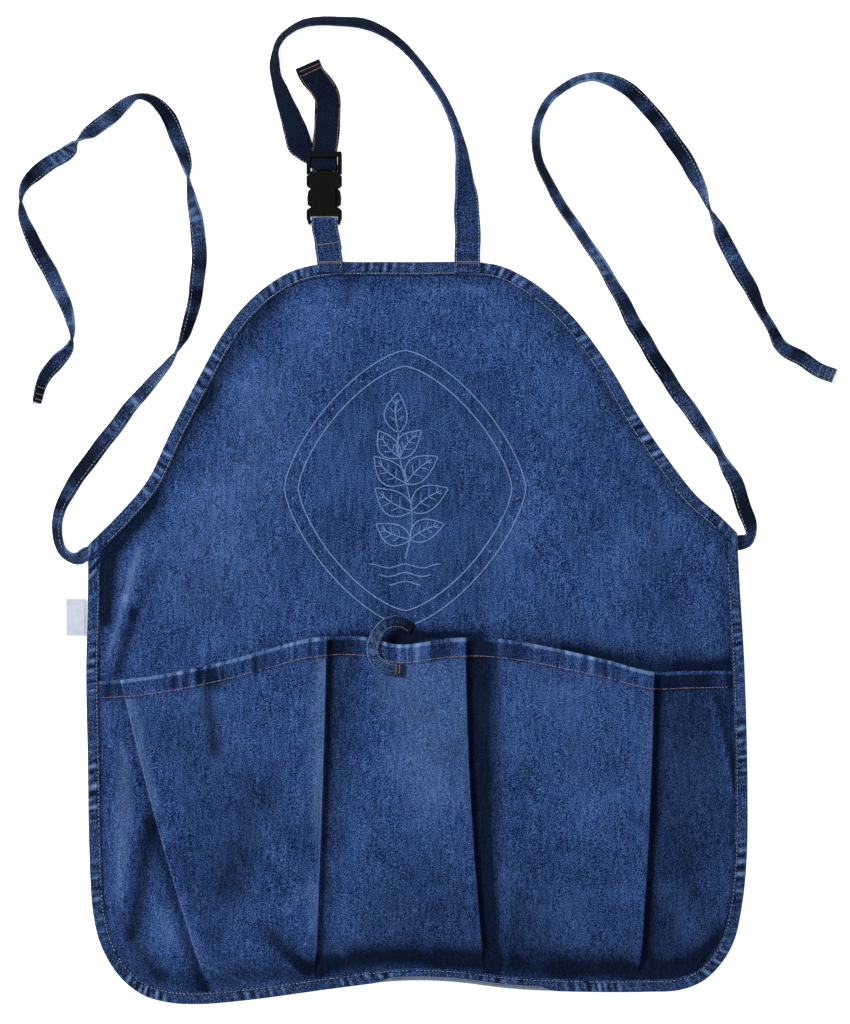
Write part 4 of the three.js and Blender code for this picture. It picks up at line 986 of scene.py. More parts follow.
@dataclass
class Stitching:
    """Rows of single stitches, each a short tube that dips into the cloth at both ends."""

    pitch: float = 3.4
    length: float = 2.5
    radius: float = 0.33
    sides: int = 5

    def along(self, line: Array, up: Array, seed: int, gaps: float = 0.0) -> Surface:
        """Stitches along a line: five-sided rings at the tube's ends and middle.

        Args:
            line: the seam's points on the cloth, in plan mm.
            up: the cloth's outward direction at each point.
            seed: start of the small unevenness.
            gaps: share of the stitches that are hidden or worn away.

        Returns:
            All the stitches of the seam.
        """
        chance = np.random.default_rng(seed)
        reach = reach_of(line)
        middles = np.arange(self.pitch / 2, reach[-1] - self.pitch / 2, self.pitch)
        middles = middles + chance.uniform(-0.12, 0.12, len(middles)) * self.pitch
        middles = middles[chance.uniform(0, 1, len(middles)) >= gaps]
        at = [read_line(line, reach, middles + step) for step in (-0.5, 0, 0.5)]
        out = unit(read_line(up, reach, middles))
        along = unit(at[2] - at[0])
        side = unit(np.cross(along, out))
        size = chance.uniform(0.85, 1.1, len(middles))[:, None, None, None]
        lean = chance.uniform(-0.18, 0.18, len(middles))[:, None]
        along = unit(along + side * lean)
        rings = np.array([(-0.5, -0.55, 0.35), (-0.3, 0.35, 0.9), (0.3, 0.35, 0.9), (0.5, -0.55, 0.35)])
        angles = np.arange(self.sides) * math.tau / self.sides
        wave = np.stack([np.cos(angles), np.sin(angles)], axis=-1)
        place = rings[:, 0, None, None] * self.length
        rise = (rings[:, 1, None] + rings[:, 2, None] * wave[:, 1])[..., None] * self.radius
        swing = (rings[:, 2, None] * wave[:, 0])[..., None] * self.radius
        swings = out[:, None, None] * rise + side[:, None, None] * swing
        return thread_tubes(at[1][:, None, None] + size * along[:, None, None] * place + swings, len(rings))


def up_lines(line: Array) -> Array:
    """Straight up for every point of a line."""
    return np.tile([0.0, 0.0, 1.0], (len(line), 1))


def tape_ripple(along: Array, across: Array, seed: float) -> Array:
    """Puckers of a sewn tape: two trains of slanting waves whose phase and height drift, from -1 to 1.

    Args:
        along: mm along the tape.
        across: share across the tape.
        seed: shifts the drift, so that no two tapes match.

    Returns:
        The pucker's share of its height.
    """
    slow = np.sin(along / 9.7 + seed) + np.sin(along / 23.1 + 2 * seed)
    first = np.sin(along / 1.25 + 2.4 * across + 1.9 * slow)
    second = np.sin(along / 2.3 - 1.1 * across + 2.3 * np.sin(along / 14.3 + seed))
    strength = 0.6 + 0.4 * np.sin(along / 17.0 + 3 * seed)
    return strength * (0.6 * first + 0.4 * second)


@dataclass
class ApronPanel:
    """The body of the apron: one sheet from hem to bib, with its soft folds."""

    columns: int = 214
    hidden_rows: int = 18
    shown_rows: int = 190

    def build(self, finishes: Finishes, motif: SprigMotif) -> bpy.types.Object:
        """Makes the sheet: an even grid over the plan, both faces a cloth's thickness apart.

        Args:
            finishes: the apron's finishes.
            motif: the pressed design, whose field is flatter and darker.

        Returns:
            The panel, which replaces its solid.
        """
        under_pocket = np.linspace(0, 0.40, self.hidden_rows, endpoint=False)
        rows = np.concatenate([under_pocket, np.linspace(0.40, 1, self.shown_rows)])
        column, row = np.meshgrid(np.linspace(0, 1, self.columns), rows)
        plan = PLAN.points(column, row)
        under = PLAN.underside(plan)
        lower = raised(plan, under)
        upper = lower + (0, 0, SIZES.cloth)
        surface = closed_sheet(upper, lower, self.tone_and_shading(plan, motif))
        panel = make_piece("apron_panel_cloth", surface, finishes.panel)
        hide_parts("apron_panel")
        return panel

    def tone_and_shading(self, plan: Array, motif: SprigMotif) -> Array:
        """The panel's tone: painted shade along its bindings, a painted shadow above the pocket's mouth,
        painted shade and highlights along its folds, and a darker pressed field.
        """
        inside = distance_to_line(plan, PLAN.outline)
        x, y = plan[..., 0], plan[..., 1]
        # Painted shade on the panel beside its raised bindings
        tone_and_shading = -0.34 * bell(inside - SIZES.bound, 9.0)
        above = y - PLAN.hem_height(x)
        # Painted shadow of the pocket's open mouth on the panel just above the hem
        mouth_shadow = smoothstep(x, 40, 150) * 0.40 + smoothstep(x, -110, -40) * (1 - smoothstep(x, 20, 60)) * 0.30
        tone_and_shading = tone_and_shading - mouth_shadow * bell(np.maximum(above - 1, 0), 9.0)
        # Streaks of painted shade and highlights, and the pressed field's darker tone
        return tone_and_shading + streaks(plan, PANEL_FADES_AND_SHADING) - 0.16 * motif.field(plan)


# Streaks of tone on the panel, in plan mm: both ends, width, and tone, above 0 where it is paler; most paint
# shade beside the bindings, beside the folds and above the pocket's mouth, and a few paint highlights on
# folds
PANEL_FADES_AND_SHADING = np.array([
    (-258, 422, -270, 376, 4.5, 0.26), (-270, 376, -291, 306, 3.5, 0.34), (-245, 401, -262, 362, 7, -0.40),
    (-262, 362, -277, 306, 6.5, -0.65), (-283, 425, -289, 358, 9, -0.85), (-276, 432, -250, 466, 13, -0.65),
    (-262, 452, -196, 560, 15, -0.34), (-196, 560, -130, 652, 12, -0.38), (-62, 672, -66, 652, 6, -0.35),
    (26, 676, 54, 662, 5, 0.22), (-150, 560, -200, 400, 50, 0.05), (205, 440, 270, 330, 40, -0.06),
    (138, 331, 290, 311, 9, -0.26), (120, 318, 280, 304, 34, -0.26), (-96, 341, -44, 341, 4, -0.45),
    (-2, 342, 60, 342, 6, -0.65), (-24, 338, -6, 342, 9, -0.70), (150, 560, 205, 470, 14, -0.18),
    (40, 400, 60, 345, 30, -0.10), (225, 430, 250, 330, 12, -0.12),
])
# Streaks of tone on the pocket, in the same columns: most paint shade along its bottom, beside its folds and
# below the hem, and thin ones paint highlights along fold edges
POCKET_FADES_AND_SHADING = np.array([
    (-6, 280, -6, 200, 50, 0.14), (-40, 60, 200, 58, 60, -0.22), (-240, 18, -80, 18, 34, -0.16),
    (24, 36, 60, 36, 11, -0.30), (96, 32, 126, 30, 14, -0.24), (140, 28, 196, 28, 17, -0.36),
    (206, 24, 240, 24, 12, -0.34), (246, 26, 284, 66, 10, -0.38), (-70, 40, 10, 40, 13, -0.24),
    (-100, 34, -76, 40, 8, -0.42), (-210, 263, -191, 120, 26, -0.26), (-140, 189, -178, 106, 20, -0.20),
    (-193, 292, -186, 235, 6, -0.46), (-222, 303, -222, 294, 4, -0.55), (-198, 311, -186, 300, 9, -0.60),
    (-150, 321, -149, 312, 4, -0.50), (-287, 298, -287, 284, 4, -0.60), (120, 270, 130, 200, 40, 0.05),
    (60, 120, 60, 70, 60, -0.12), (273, 284, 294, 190, 1.2, 0.45), (280, 284, 302, 180, 4, -0.35),
    (-270, 235, -272, 90, 8, 0.20), (-226, 140, -190, 60, 13, -0.20), (-120, 90, -80, 130, 10, 0.10),
    (-112, 150, -86, 112, 9, -0.20), (-142, 200, -99, 145, 12, -0.16), (96, 96, 84, 44, 9, -0.25),
    (234, 110, 262, 60, 14, 0.14), (-250, 290, -216, 292, 3, 0.25), (-247, 168, -263, 70, 9, -0.70),
    (-263, 60, -238, 28, 7, -0.42), (-232, 82, -228, 58, 9, 0.14), (-166, 140, -178, 83, 14, -0.20),
    (-133, 67, -103, 35, 8, -0.40), (-198, 38, -159, 20, 1.3, 0.40), (-125, 40, -106, 26, 1.3, 0.35),
])


def streaks(plan: Array, table: Array) -> Array:
    """Sum of tones that lie along short lines, each a bell beside its line."""
    tone = np.zeros(plan.shape[:-1])
    for x0, y0, x1, y1, width, share in table:
        tone += share * bell(distance_to_line(plan, np.array([(x0, y0), (x1, y1)])), width)
    return tone


@dataclass
class SprigMotif:
    """A plain leafy sprig pressed into the bib inside a rounded diamond of two lines."""

    centre: tuple[float, float] = (-10.5, 478.0)
    half_width: float = 112.0
    half_height: float = 128.0
    roundness: float = 1.45
    welt_height: float = 0.9
    welt_width: float = 2.1
    leaf_length: float = 40.0
    leaf_width: float = 11.5
    seeds: int = 36

    def diamond(self, scale: float, count: int = 340) -> Array:
        """A rounded diamond: powers of X and Y over the half sizes that add to one.

        Args:
            scale: share of the full size.
            count: points on the line.

        Returns:
            The closed line.
        """
        turn = np.linspace(0, math.tau, count)
        c, s = np.cos(turn), np.sin(turn)
        power = 2 / self.roundness
        line = np.stack([np.sign(c) * np.abs(c) ** power, np.sign(s) * np.abs(s) ** power], axis=-1)
        return line * (self.half_width * scale, self.half_height * scale) + self.centre

    def field(self, plan: Array) -> Array:
        """How far inside the outer diamond a place is, as a smooth share."""
        away = np.abs(plan - self.centre) / (self.half_width, self.half_height)
        return 1 - smoothstep((away**self.roundness).sum(-1), 0.94, 1.02)

    def stem(self, share: Array) -> Array:
        """The stem: straight up with a slow S bend."""
        share = np.asarray(share, float)
        y = blend(-66.0, 52.0, share)
        x = 6.5 * np.sin(share * math.pi * 1.6)
        return np.stack([x, y], axis=-1) + self.centre

    def leaf(self, root: Array, angle: float, size: float) -> list[Array]:
        """A leaf's outline and midrib: its half width is a sine that swells near the root.

        Args:
            root: where it leaves the stem.
            angle: its direction in degrees.
            size: share of the full leaf.

        Returns:
            The outline, the midrib and four side veins as lines.
        """
        along = np.linspace(0, 1, 36)
        half = self.leaf_width * size * np.sin(math.pi * along**0.8) ** 0.9
        bend = 3.0 * size * np.sin(math.pi * along)
        reach = self.leaf_length * size * along
        there, back = np.stack([reach, bend + half], axis=-1), np.stack([reach, bend - half], axis=-1)
        lines = [np.vstack([there, back[::-1]]), np.stack([reach, bend], axis=-1)[:31]]
        for share in (0.28, 0.5, 0.7):
            start = np.array([share * self.leaf_length * size, 3.0 * size * math.sin(math.pi * share)])
            width = self.leaf_width * size * math.sin(math.pi * (share + 0.1) ** 0.8) ** 0.9
            for side in (1, -1):
                tip = start + (0.14 * self.leaf_length * size, side * width * 0.72)
                lines.append(blend(start, tip, np.linspace(0.0, 1, 8)[:, None]))
        turn = math.radians(angle)
        matrix = np.array([(math.cos(turn), -math.sin(turn)), (math.sin(turn), math.cos(turn))])
        return [line @ matrix.T + root for line in lines]

    def welt(self, line: Array, width: float, height: float, closed: bool = False) -> Surface:
        """A raised line in the cloth: a bell across, fading at open ends.

        Args:
            line: the crest in the plan.
            width: half width of the welt.
            height: height of its crest.
            closed: whether the line closes on itself.

        Returns:
            The welt, a little sunk into the cloth at its rims.
        """
        reach = reach_of(line)
        steps = max(6, int(reach[-1] / 1.4))
        even = np.linspace(0, reach[-1], steps)
        path = read_line(line, reach, even)
        if closed:
            ring = np.concatenate([path[-3:-1], path, path[1:3]])
            tangent = unit(np.gradient(ring, axis=0))[2:-2]
        else:
            tangent = unit(np.gradient(path, axis=0))
        across = np.linspace(-1, 1, 9)
        plan = path[:, None] + left_of(tangent)[:, None] * (across * width)[None, :, None]
        fade = np.ones(steps) if closed else smoothstep(np.minimum(even, even[::-1]), -0.8, 1.6)
        crest = bell(across, 0.46) * fade[:, None]
        # A pale crest, with painted shade along the welt's sides
        wear_and_shading = 0.85 * crest**2.4 - 0.50 * (1 - crest) * np.abs(across) ** 0.5
        return self.pressed(plan, height * crest - 0.1, wear_and_shading)

    @staticmethod
    def pressed(plan: Array, rise: Array, wear_and_shading: Array, sink: float = 0.7) -> Surface:
        """Raised cloth over some plan points, sunk into the panel below."""
        top = PLAN.panel_top(plan)
        return closed_sheet(raised(plan, top + rise), raised(plan, top - sink), wear_and_shading)

    def seed_dots(self) -> list[Surface]:
        """Small round bumps evenly along the line half way between the two diamonds."""
        line = self.diamond(0.945, 800)
        reach = reach_of(line)
        places = (np.arange(self.seeds) + 0.5) / self.seeds * reach[-1]
        radius, turn = np.linspace(0, 1, 5), np.linspace(0, math.tau, 13)
        ring_radius, ring_turn = np.meshgrid(radius, turn, indexing="ij")
        spread = 2.0 * ring_radius[..., None] * np.stack([np.cos(ring_turn), np.sin(ring_turn)], axis=-1)
        crest = bell(ring_radius, 0.55)
        return [
            self.pressed(middle + spread, 0.8 * crest - 0.06, 0.8 * crest - 0.2, 0.6)
            for middle in read_line(line, reach, places)
        ]

    def build(self, finishes: Finishes) -> bpy.types.Object:
        """Makes the design as one piece of welts and bumps.

        Args:
            finishes: the apron's finishes.

        Returns:
            The design, lying in the panel's upper face.
        """
        parts = [self.welt(self.diamond(1.0), self.welt_width, self.welt_height, True)]
        parts.append(self.welt(self.diamond(0.885), self.welt_width, self.welt_height, True))
        parts.append(self.welt(self.stem(np.linspace(0, 1, 60)), 2.0, 1.0))
        for share, angle, size in SPRIG_LEAVES:
            root = self.stem(np.array([share]))[0]
            for k, line in enumerate(self.leaf(root, angle, size)):
                slim = 1.0 if k < 2 else 0.72
                parts.append(self.welt(line, slim * 1.9, slim * 0.85))
        for drop, half in ((-72.0, 34.0), (-80.0, 25.0), (-88.0, 15.0)):
            x = np.linspace(-half, half, 60)
            furrow = np.stack([x, drop + 1.8 * np.cos(x / 5.0)], axis=-1) + self.centre
            parts.append(self.welt(furrow, 1.8, 0.8))
        parts.extend(self.seed_dots())
        return make_piece("pressed_sprig_design", Surface.joined(parts), finishes.panel)


# The sprig's leaves: place up the stem, direction in degrees and size
SPRIG_LEAVES = (
    (0.16, 24, 0.86), (0.16, 156, 0.86), (0.38, 32, 1.0), (0.38, 148, 1.0), (0.60, 40, 0.96),
    (0.60, 140, 0.96), (0.80, 52, 0.80), (0.80, 128, 0.80), (1.0, 90, 0.92),
)


@dataclass
class Binding:
    """Tape folded round an edge of the apron and sewn along its inner side."""

    name: str
    node: str
    outline: Outline
    width: float
    step: float
    seed: float
    pucker: float = 0.5
    seam_inset: float = 1.9

    def section(self, height: Array, tuck: Array) -> tuple[Array, Array, Array]:
        """The tape's outer line round the edge: flat below, a rounded fold, and a soft top.

        Args:
            height: the fold's height at each ring.
            tuck: how far the top is drawn back from the edge at each ring.

        Returns:
            Distance from the edge, height, and how much of each point is on top.
        """
        w, f, h, back = self.width, SIZES.tape_fold, height[:, None], tuck[:, None]
        low = np.array([w, 0.6 * w, 2.5, f, 0.3 * f, 0.0])
        low_rise = np.array([0, 0, 0, 0, 0.3, 1.0]) * f
        top = np.array([
            0.0, 0.3 * f, f, 2.3, 0.33 * w, 0.5 * w, 0.66 * w, w - 2.7, w - 1.9, w - 1.1, w - 0.4, w,
        ])
        drop = np.array([f, 0.3 * f, 0, -0.1, -0.25, -0.3, -0.22, -0.05, 0.32, -0.02, 0.05, 0.4])
        on_top = np.array([0.1, 0.4, 0.7, 0.9, 1, 1, 1, 0.8, 0.35, 0.5, 0.3, 0.0])
        ones = np.ones_like(h)
        x = np.concatenate([low * ones, top + back * (1 - top / w)], axis=1)
        z = np.concatenate([low_rise * ones, h - drop], axis=1)
        return x, z, np.concatenate([0 * low, on_top])

    def rings(self, start: float, end: float) -> Array:
        """Places along the outline, one ring every step."""
        low, high = np.interp([start, end], np.linspace(0, 1, 1600), self.outline.reach)
        return self.outline.at_length(np.linspace(low, high, int((high - low) / self.step)))

    def surface(
        self, t: Array, slot: Array, slants: tuple[float, float], fade: float, tuck: Array
    ) -> Surface:
        """The tape's closed surface along the outline.

        Args:
            t: the rings' places.
            slot: room inside the fold at each ring.
            slants: how the two ends lean along the edge.
            fade: share of the run over which a lean dies out.
            tuck: how far the top is drawn back at each ring.

        Returns:
            The tape.
        """
        point, tangent, normal = self.outline.point(t), self.outline.tangent(t), self.outline.normal(t)
        share = (t - t[0]) / (t[-1] - t[0])
        lean = slants[0] * np.maximum(0, 1 - share / fade) + slants[1] * np.maximum(0, 1 - (1 - share) / fade)
        along = reach_of(point)[:, None]
        height = 2 * SIZES.cloth + slot
        x, z, on_top = self.section(height, tuck)
        puckers = tape_ripple(along, x / self.width, self.seed)
        outer_z = z + self.pucker * puckers * on_top
        inner_x = np.maximum(x, SIZES.cloth)
        inner_z = np.clip(z, SIZES.cloth, (height - SIZES.cloth)[:, None])
        direction = normal[:, None] + tangent[:, None] * lean[:, None, None]
        grids = []
        for across, rise in ((x, outer_z), (inner_x, inner_z)):
            grids.append(raised(point[:, None] + direction * across[..., None], rise))
        cloth = np.stack([x, wide(along, x)], axis=-1)
        return closed_sheet(*grids, self.tone_and_shading(puckers, x, on_top, along), cloth)

    def tone_and_shading(self, puckers: Array, x: Array, on_top: Array, along: Array) -> Array:
        """The tape's tone: faded pale on pucker crests and the outer fold, and painted shade in the groove
        beside the seam.
        """
        drift = 0.5 + 0.5 * np.sin(along / 31.0 + self.seed)
        crest = 1.05 * puckers * on_top * (0.6 + 0.4 * drift)
        fold = 0.22 * bell(x - 0.6, 1.0) * drift
        # Painted shade in the groove beside the seam
        seam = -0.45 * bell(x - self.width + self.seam_inset, 1.3)
        return crest + fold + seam - 0.16

    def seam(self, t: Array, height: Array, tuck: float = 0.0) -> Array:
        """The sewn line along the tape's inner side."""
        plan = self.outline.point(t) + self.outline.normal(t) * (self.width - self.seam_inset + tuck)
        return np.column_stack([plan, height - 0.1])


@dataclass
class Bindings:
    """The two tapes round the apron, their seams and the turned edge under the hem."""

    side: Binding = field(default_factory=lambda: Binding(
        "side_and_hem_tape", "side_binding", PLAN.side, SIZES.side_tape, 1.35, 0.7))
    top: Binding = field(default_factory=lambda: Binding(
        "armhole_and_bib_tape", "top_binding", PLAN.top, SIZES.top_tape, 1.2, 2.9, 0.36))
    turned_from: float = -42.0
    turned_to: float = 132.0
    turned_width: float = 4.0

    def build(self, finishes: Finishes) -> list[bpy.types.Object]:
        """Makes both tapes with their seams.

        Args:
            finishes: the apron's finishes.

        Returns:
            The tapes and what is sewn on them.
        """
        angles = [PLAN.waist_angle(end) for end in (0.0, 1.0)]
        slants = (-1 / math.tan(angles[0]), 1 / math.tan(angles[1]))
        pieces = self.side_pieces(finishes, angles, slants)
        return pieces + self.top_pieces(finishes, slants)

    def side_pieces(self, finishes: Finishes, angles: list, slants: tuple) -> list[bpy.types.Object]:
        """The side and hem tape: thicker below the pocket's hem, drawn back where its edge is turned."""
        s, side = SIZES, self.side
        cuts = [(s.top_tape + s.gap) / math.sin(angle) for angle in angles]
        t = side.rings(*side.outline.at_length(np.array([cuts[0], side.outline.reach[-1] - cuts[1]])))
        point = side.outline.point(t)
        hems = [PLAN.hem_place(end)[1] + s.hem_thickness for end in (0, 1)]
        hem = np.where(point[:, 0] < 0, hems[0], hems[1])
        slot = blend(s.pocket_slot, s.panel_slot, smoothstep(point[:, 1], hem + 10, hem + 40))
        low = point[:, 1] < 0.1 * s.panel_height
        across = smoothstep(point[:, 0], self.turned_from, self.turned_from + 22)
        across = across * (1 - smoothstep(point[:, 0], self.turned_to - 22, self.turned_to))
        tuck = self.turned_width * across * low
        tape = make_piece(side.name, side.surface(t, slot, slants, SIDE_FADE, tuck), finishes.tape)
        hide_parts(side.node)
        height = 2 * s.cloth + slot
        seam = side.seam(t[5:-5], height[5:-5])
        stitches = Stitching().along(seam, up_lines(seam), 11, 0.04)
        sewn = make_piece("side_and_hem_seam", stitches, finishes.pale_thread)
        return [tape, sewn, self.turned_edge(finishes, t, height, tuck)]

    def turned_edge(self, finishes: Finishes, t: Array, height: Array, tuck: Array) -> bpy.types.Object:
        """The tape's pale inner side, turned out along the hem: a strip on the slope under its top."""
        shown = np.flatnonzero(tuck > 0.15)
        run = slice(shown[0], shown[-1] + 1)
        point, normal = self.side.outline.point(t[run]), self.side.outline.normal(t[run])
        across, lift = np.linspace(-0.02, 0.96, 5), np.linspace(0.0, 1.0, 5)
        low, high = SIZES.tape_fold, (height - SIZES.tape_fold)[run, None]
        waver = 0.18 * np.sin(reach_of(point) / 5.1)[:, None]
        z = low + (high - low) * lift + 0.22 + waver * np.sin(math.pi * lift)
        x = tuck[run, None] * across - 0.25
        upper = raised(point[:, None] + normal[:, None] * x[..., None], z)
        lower = upper + raised(normal, 0 * normal[:, 0])[:, None] * 0.4 - (0, 0, 0.25)
        cloth = np.stack([x, wide(reach_of(point)[:, None], x)], axis=-1)
        surface = closed_sheet(upper, lower, np.full(x.shape, 0.1), cloth)
        return make_piece("turned_tape_edge", surface, finishes.reverse)

    def top_pieces(self, finishes: Finishes, slants: tuple) -> list[bpy.types.Object]:
        """The armhole and bib tape, cut along the panel's sides at the waist corners."""
        s, top = SIZES, self.top
        t = top.rings(0.0, 1.0)
        slot = np.full(len(t), s.panel_slot)
        surface = top.surface(t, slot, slants, TOP_FADE, np.zeros(len(t)))
        tape = make_piece(top.name, surface, finishes.tape)
        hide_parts(top.node)
        seam = top.seam(t[12:-12], np.full(len(t) - 24, 2 * s.cloth + s.panel_slot))
        stitches = Stitching(3.3, 3.0, 0.33).along(seam, up_lines(seam), 12, 0.03)
        return [tape, make_piece("armhole_and_bib_seam", stitches, finishes.pale_thread)]


# Dents of the pocket's front, in plan mm: both ends, width and depth
POCKET_DENTS = np.array([
    (-141, 66, -103, 30, 7.0, 2.6), (-62, 48, -2, 50, 9.0, 3.0), (22, 50, 90, 42, 9.0, 3.0),
    (108, 48, 190, 40, 10.0, 2.6), (-186, 66, -160, 26, 8.0, 1.8), (-205, 40, -170, 22, 6.0, 1.6),
    (-165, 235, -150, 120, 26.0, 1.6), (-40, 250, -20, 90, 30.0, 1.4), (105, 240, 110, 80, 30.0, 1.2),
])


@dataclass
class PleatedPocket:
    """The pocket panel: one sheet in pressed folds, sewn flat into the hem tape."""

    refine: int = 3
    column: float = 2.6
    hem_band: float = 0.006

    def rows(self) -> Array:
        """Row shares from bottom to hem: close together at both ends and at the hem's step."""
        top = 1 - self.hem_share()
        return np.concatenate([
            np.linspace(0, 0.17, 30, endpoint=False), np.linspace(0.17, top - 0.02, 60, endpoint=False),
            np.linspace(top - 0.02, top + 0.01, 8, endpoint=False), np.linspace(top + 0.01, 0.992, 9),
            [0.997, 1.0],
        ])

    @staticmethod
    def hem_share() -> float:
        """The hem's depth as a share of the pocket's height."""
        return SIZES.hem_depth / (0.45 * SIZES.panel_height)

    @staticmethod
    def front_height(pocket: int, x: Array, row: Array) -> Array:
        """Height of a pocket's front: a crowned sine that starts with a smooth rise behind a fold."""
        s = SIZES
        start, end = PLEATS[pocket].at(row), PLEATS[pocket + 1].at(row)
        share = np.clip((x - start) / (end - start), 0, 1)
        height = s.pleat_height + s.pocket_crown * np.sin(math.pi * share)
        if PLEATS[pocket].facing < 0:
            return height
        foot = start + 3 * s.pleat_radius
        return height * smoothstep(x, foot, foot + s.pocket_rise)

    @staticmethod
    def fold(pleat: Pleat, row: Array) -> list[tuple[Array, Array, Array]]:
        """A pleat's stations: round the crease, back under it and round the inner turn.

        Args:
            pleat: the pleat.
            row: the rows' shares.

        Returns:
            Place across, height, and the flattened place across, for each station.
        """
        s, facing, crease = SIZES, pleat.facing, pleat.at(row)
        bends = np.radians([90.0, 45.0, 0.0, -45.0, -90.0])
        x = [crease + facing * (math.cos(a) - 1) * s.pleat_radius for a in bends]
        z = [s.pleat_height + (math.sin(a) - 1) * s.pleat_radius for a in bends]
        turn = crease - facing * s.pleat_tuck
        x += [turn - facing * math.cos(a) * s.pleat_radius for a in bends]
        z += [(math.sin(a) + 1) * s.pleat_radius for a in bends]
        flat = np.concatenate([np.linspace(-1.5, 0, 5), np.linspace(0.4, 2.7, 5)]) * s.pleat_radius * facing
        stations = [(x[i], z[i] + 0 * row, crease + place) for i, place in enumerate(flat)]
        return stations[::-1] if facing < 0 else stations

    def stations(self, row: Array) -> tuple[Array, Array, Array]:
        """The stations across the pocket, from the left tape to the right one.

        Args:
            row: the rows' shares.

        Returns:
            Place across, height and flattened place across, one row of each for every station.
        """
        s = SIZES
        left, right = PLAN.pocket_ends(row)
        bound = s.side_tape + 2 * s.gap
        creases = [pleat.at(row) for pleat in PLEATS]
        flat = 0 * row
        found = [(left, flat, left), (left + bound, flat, left + bound)]
        for share in (0.3, 0.6):
            x = blend(left + bound, creases[0], share)
            found.append((x, flat + 0.5 + 3.0 * math.sin(math.pi * share / 0.6), x))
        found += self.fold(PLEATS[0], row)
        for pocket in range(3):
            near = creases[pocket + 1] - 1.6 * s.pleat_tuck
            start = creases[pocket] + 1.6 * s.pleat_tuck
            places = []
            if PLEATS[pocket].facing > 0:
                foot = creases[pocket] + 3 * s.pleat_radius
                places = [foot + share * s.pocket_rise for share in (0.0, 0.2, 0.4, 0.6, 0.8)]
                start = foot + s.pocket_rise
            places += [blend(start, near, share) for share in (0, 0.2, 0.4, 0.6, 0.8, 1)]
            found += [(x, self.front_height(pocket, x, row), x) for x in places]
            found += self.fold(PLEATS[pocket + 1], row)
        last = creases[3] + 3 * s.pleat_radius
        middle = blend(last, right - bound, 0.5)
        found += [(last, flat, last), (middle, flat + 0.25 * s.pleat_height, middle)]
        found += [(right - bound, flat, right - bound), (right, flat, right)]
        return tuple(np.array([station[k] for station in found]) for k in range(3))

    def build(self, finishes: Finishes) -> list[bpy.types.Object]:
        """Makes the pocket and its hem seam.

        Args:
            finishes: the apron's finishes.

        Returns:
            The pocket, which replaces its solid, and the seam.
        """
        s = SIZES
        row = self.rows()
        x, z, flat = self.stations(row)
        at = int(0.6 * len(row))
        spans = np.hypot(np.diff(x[:, at]), np.diff(z[:, at]))
        steps = np.maximum(self.refine, np.ceil(spans / self.column)).astype(int)
        place = np.concatenate([i + np.arange(n) / n for i, n in enumerate(steps)] + [[len(x) - 1]])
        curve = spline(np.stack([x, z], axis=-1), place / (len(x) - 1))
        level = np.minimum(place.astype(int), len(x) - 2)
        share = (place - level)[:, None]
        flat = blend(flat[level], flat[level + 1], share)
        fine_x, fine_z = curve[..., 0], np.maximum(curve[..., 1], 0)
        standing = smoothstep(row, 0.035, 0.145)
        left, right = PLAN.pocket_ends(row)
        x = blend(flat, fine_x, standing)
        bound = s.side_tape + 2 * s.gap
        inside = smoothstep(np.minimum(x - left, right - x), bound, bound + 4 * s.hem_thickness)
        hem = smoothstep(row, 1 - self.hem_share() - self.hem_band, 1 - self.hem_share())
        thickness = blend(s.cloth, s.hem_thickness, inside * hem)
        lift = standing * (fine_z + s.gap * inside)
        rows_of = wide(row, x)
        plan = PLAN.pocket_point(x, rows_of)
        rest = PLAN.underside(plan) + s.cloth + s.gap + thickness / 2
        front = smoothstep(fine_z, 0.45 * s.pleat_height, 0.9 * s.pleat_height)
        lift = lift - streaks(plan, POCKET_DENTS) * front * standing
        slope = unit(np.stack([np.gradient(x, axis=0), np.gradient(lift, axis=0)], axis=-1))
        reach = np.cumsum(np.abs(np.gradient(x, axis=0)), axis=0)
        puckers = tape_ripple(reach, rows_of * 0, 1.9) * hem * front
        faces = []
        for side in (1, -1):
            half = side * thickness / 2
            moved = PLAN.pocket_point(np.clip(x - slope[..., 1] * half, left, right), rows_of)
            rise = rest + lift + slope[..., 0] * half + (0.3 * puckers if side > 0 else 0)
            faces.append(raised(moved, rise).transpose(1, 0, 2))
        tone_and_shading = self.tone_and_shading(plan, x, fine_z, row, reach, puckers, hem, front).T
        pocket = make_piece("pleated_pocket_cloth", closed_sheet(*faces, tone_and_shading), finishes.pocket)
        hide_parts("pocket_panel")
        return [pocket, self.hem_seam(finishes, faces[0], row)]

    @staticmethod
    def tone_and_shading(plan: Array, x: Array, z: Array, row: Array, reach: Array, puckers: Array, hem: Array,
             front: Array) -> Array:
        """The pocket's tone: pale crests on its folds, painted shade in the hollows beside them, beside the
        side tapes, above the bottom tape and in its dents, streaks of painted shade and highlights, and a
        pale hem edge that is rubbed wear and a painted highlight.

        Args:
            plan: plan points.
            x: places across.
            z: heights of the folded line.
            row: row shares.
            reach: length across the cloth.
            puckers: the hem's puckers.
            hem: 1 on the hem.
            front: 1 on the fronts.

        Returns:
            The tone at each point, with its painted shade and highlights.
        """
        s = SIZES
        high = smoothstep(z, s.pleat_height - 1.2, s.pleat_height - 0.2)
        patches = tape_ripple(reach / 5, 0 * x, 3.1)
        # The hem band's pucker patches, and the pocket's streaks of painted shade and highlights
        tone_and_shading = (0.5 * puckers + 0.5 * patches - 0.26) * hem + streaks(plan, POCKET_FADES_AND_SHADING)
        for pleat in PLEATS:
            crease = pleat.at(row)
            beyond = (x - crease) * pleat.facing
            crest = bell(beyond + 0.5, 0.9) * high
            tone_and_shading = tone_and_shading + pleat.crest * (crest + 0.5 * bell(beyond + 5, 5.0) * (beyond < 0) * high)
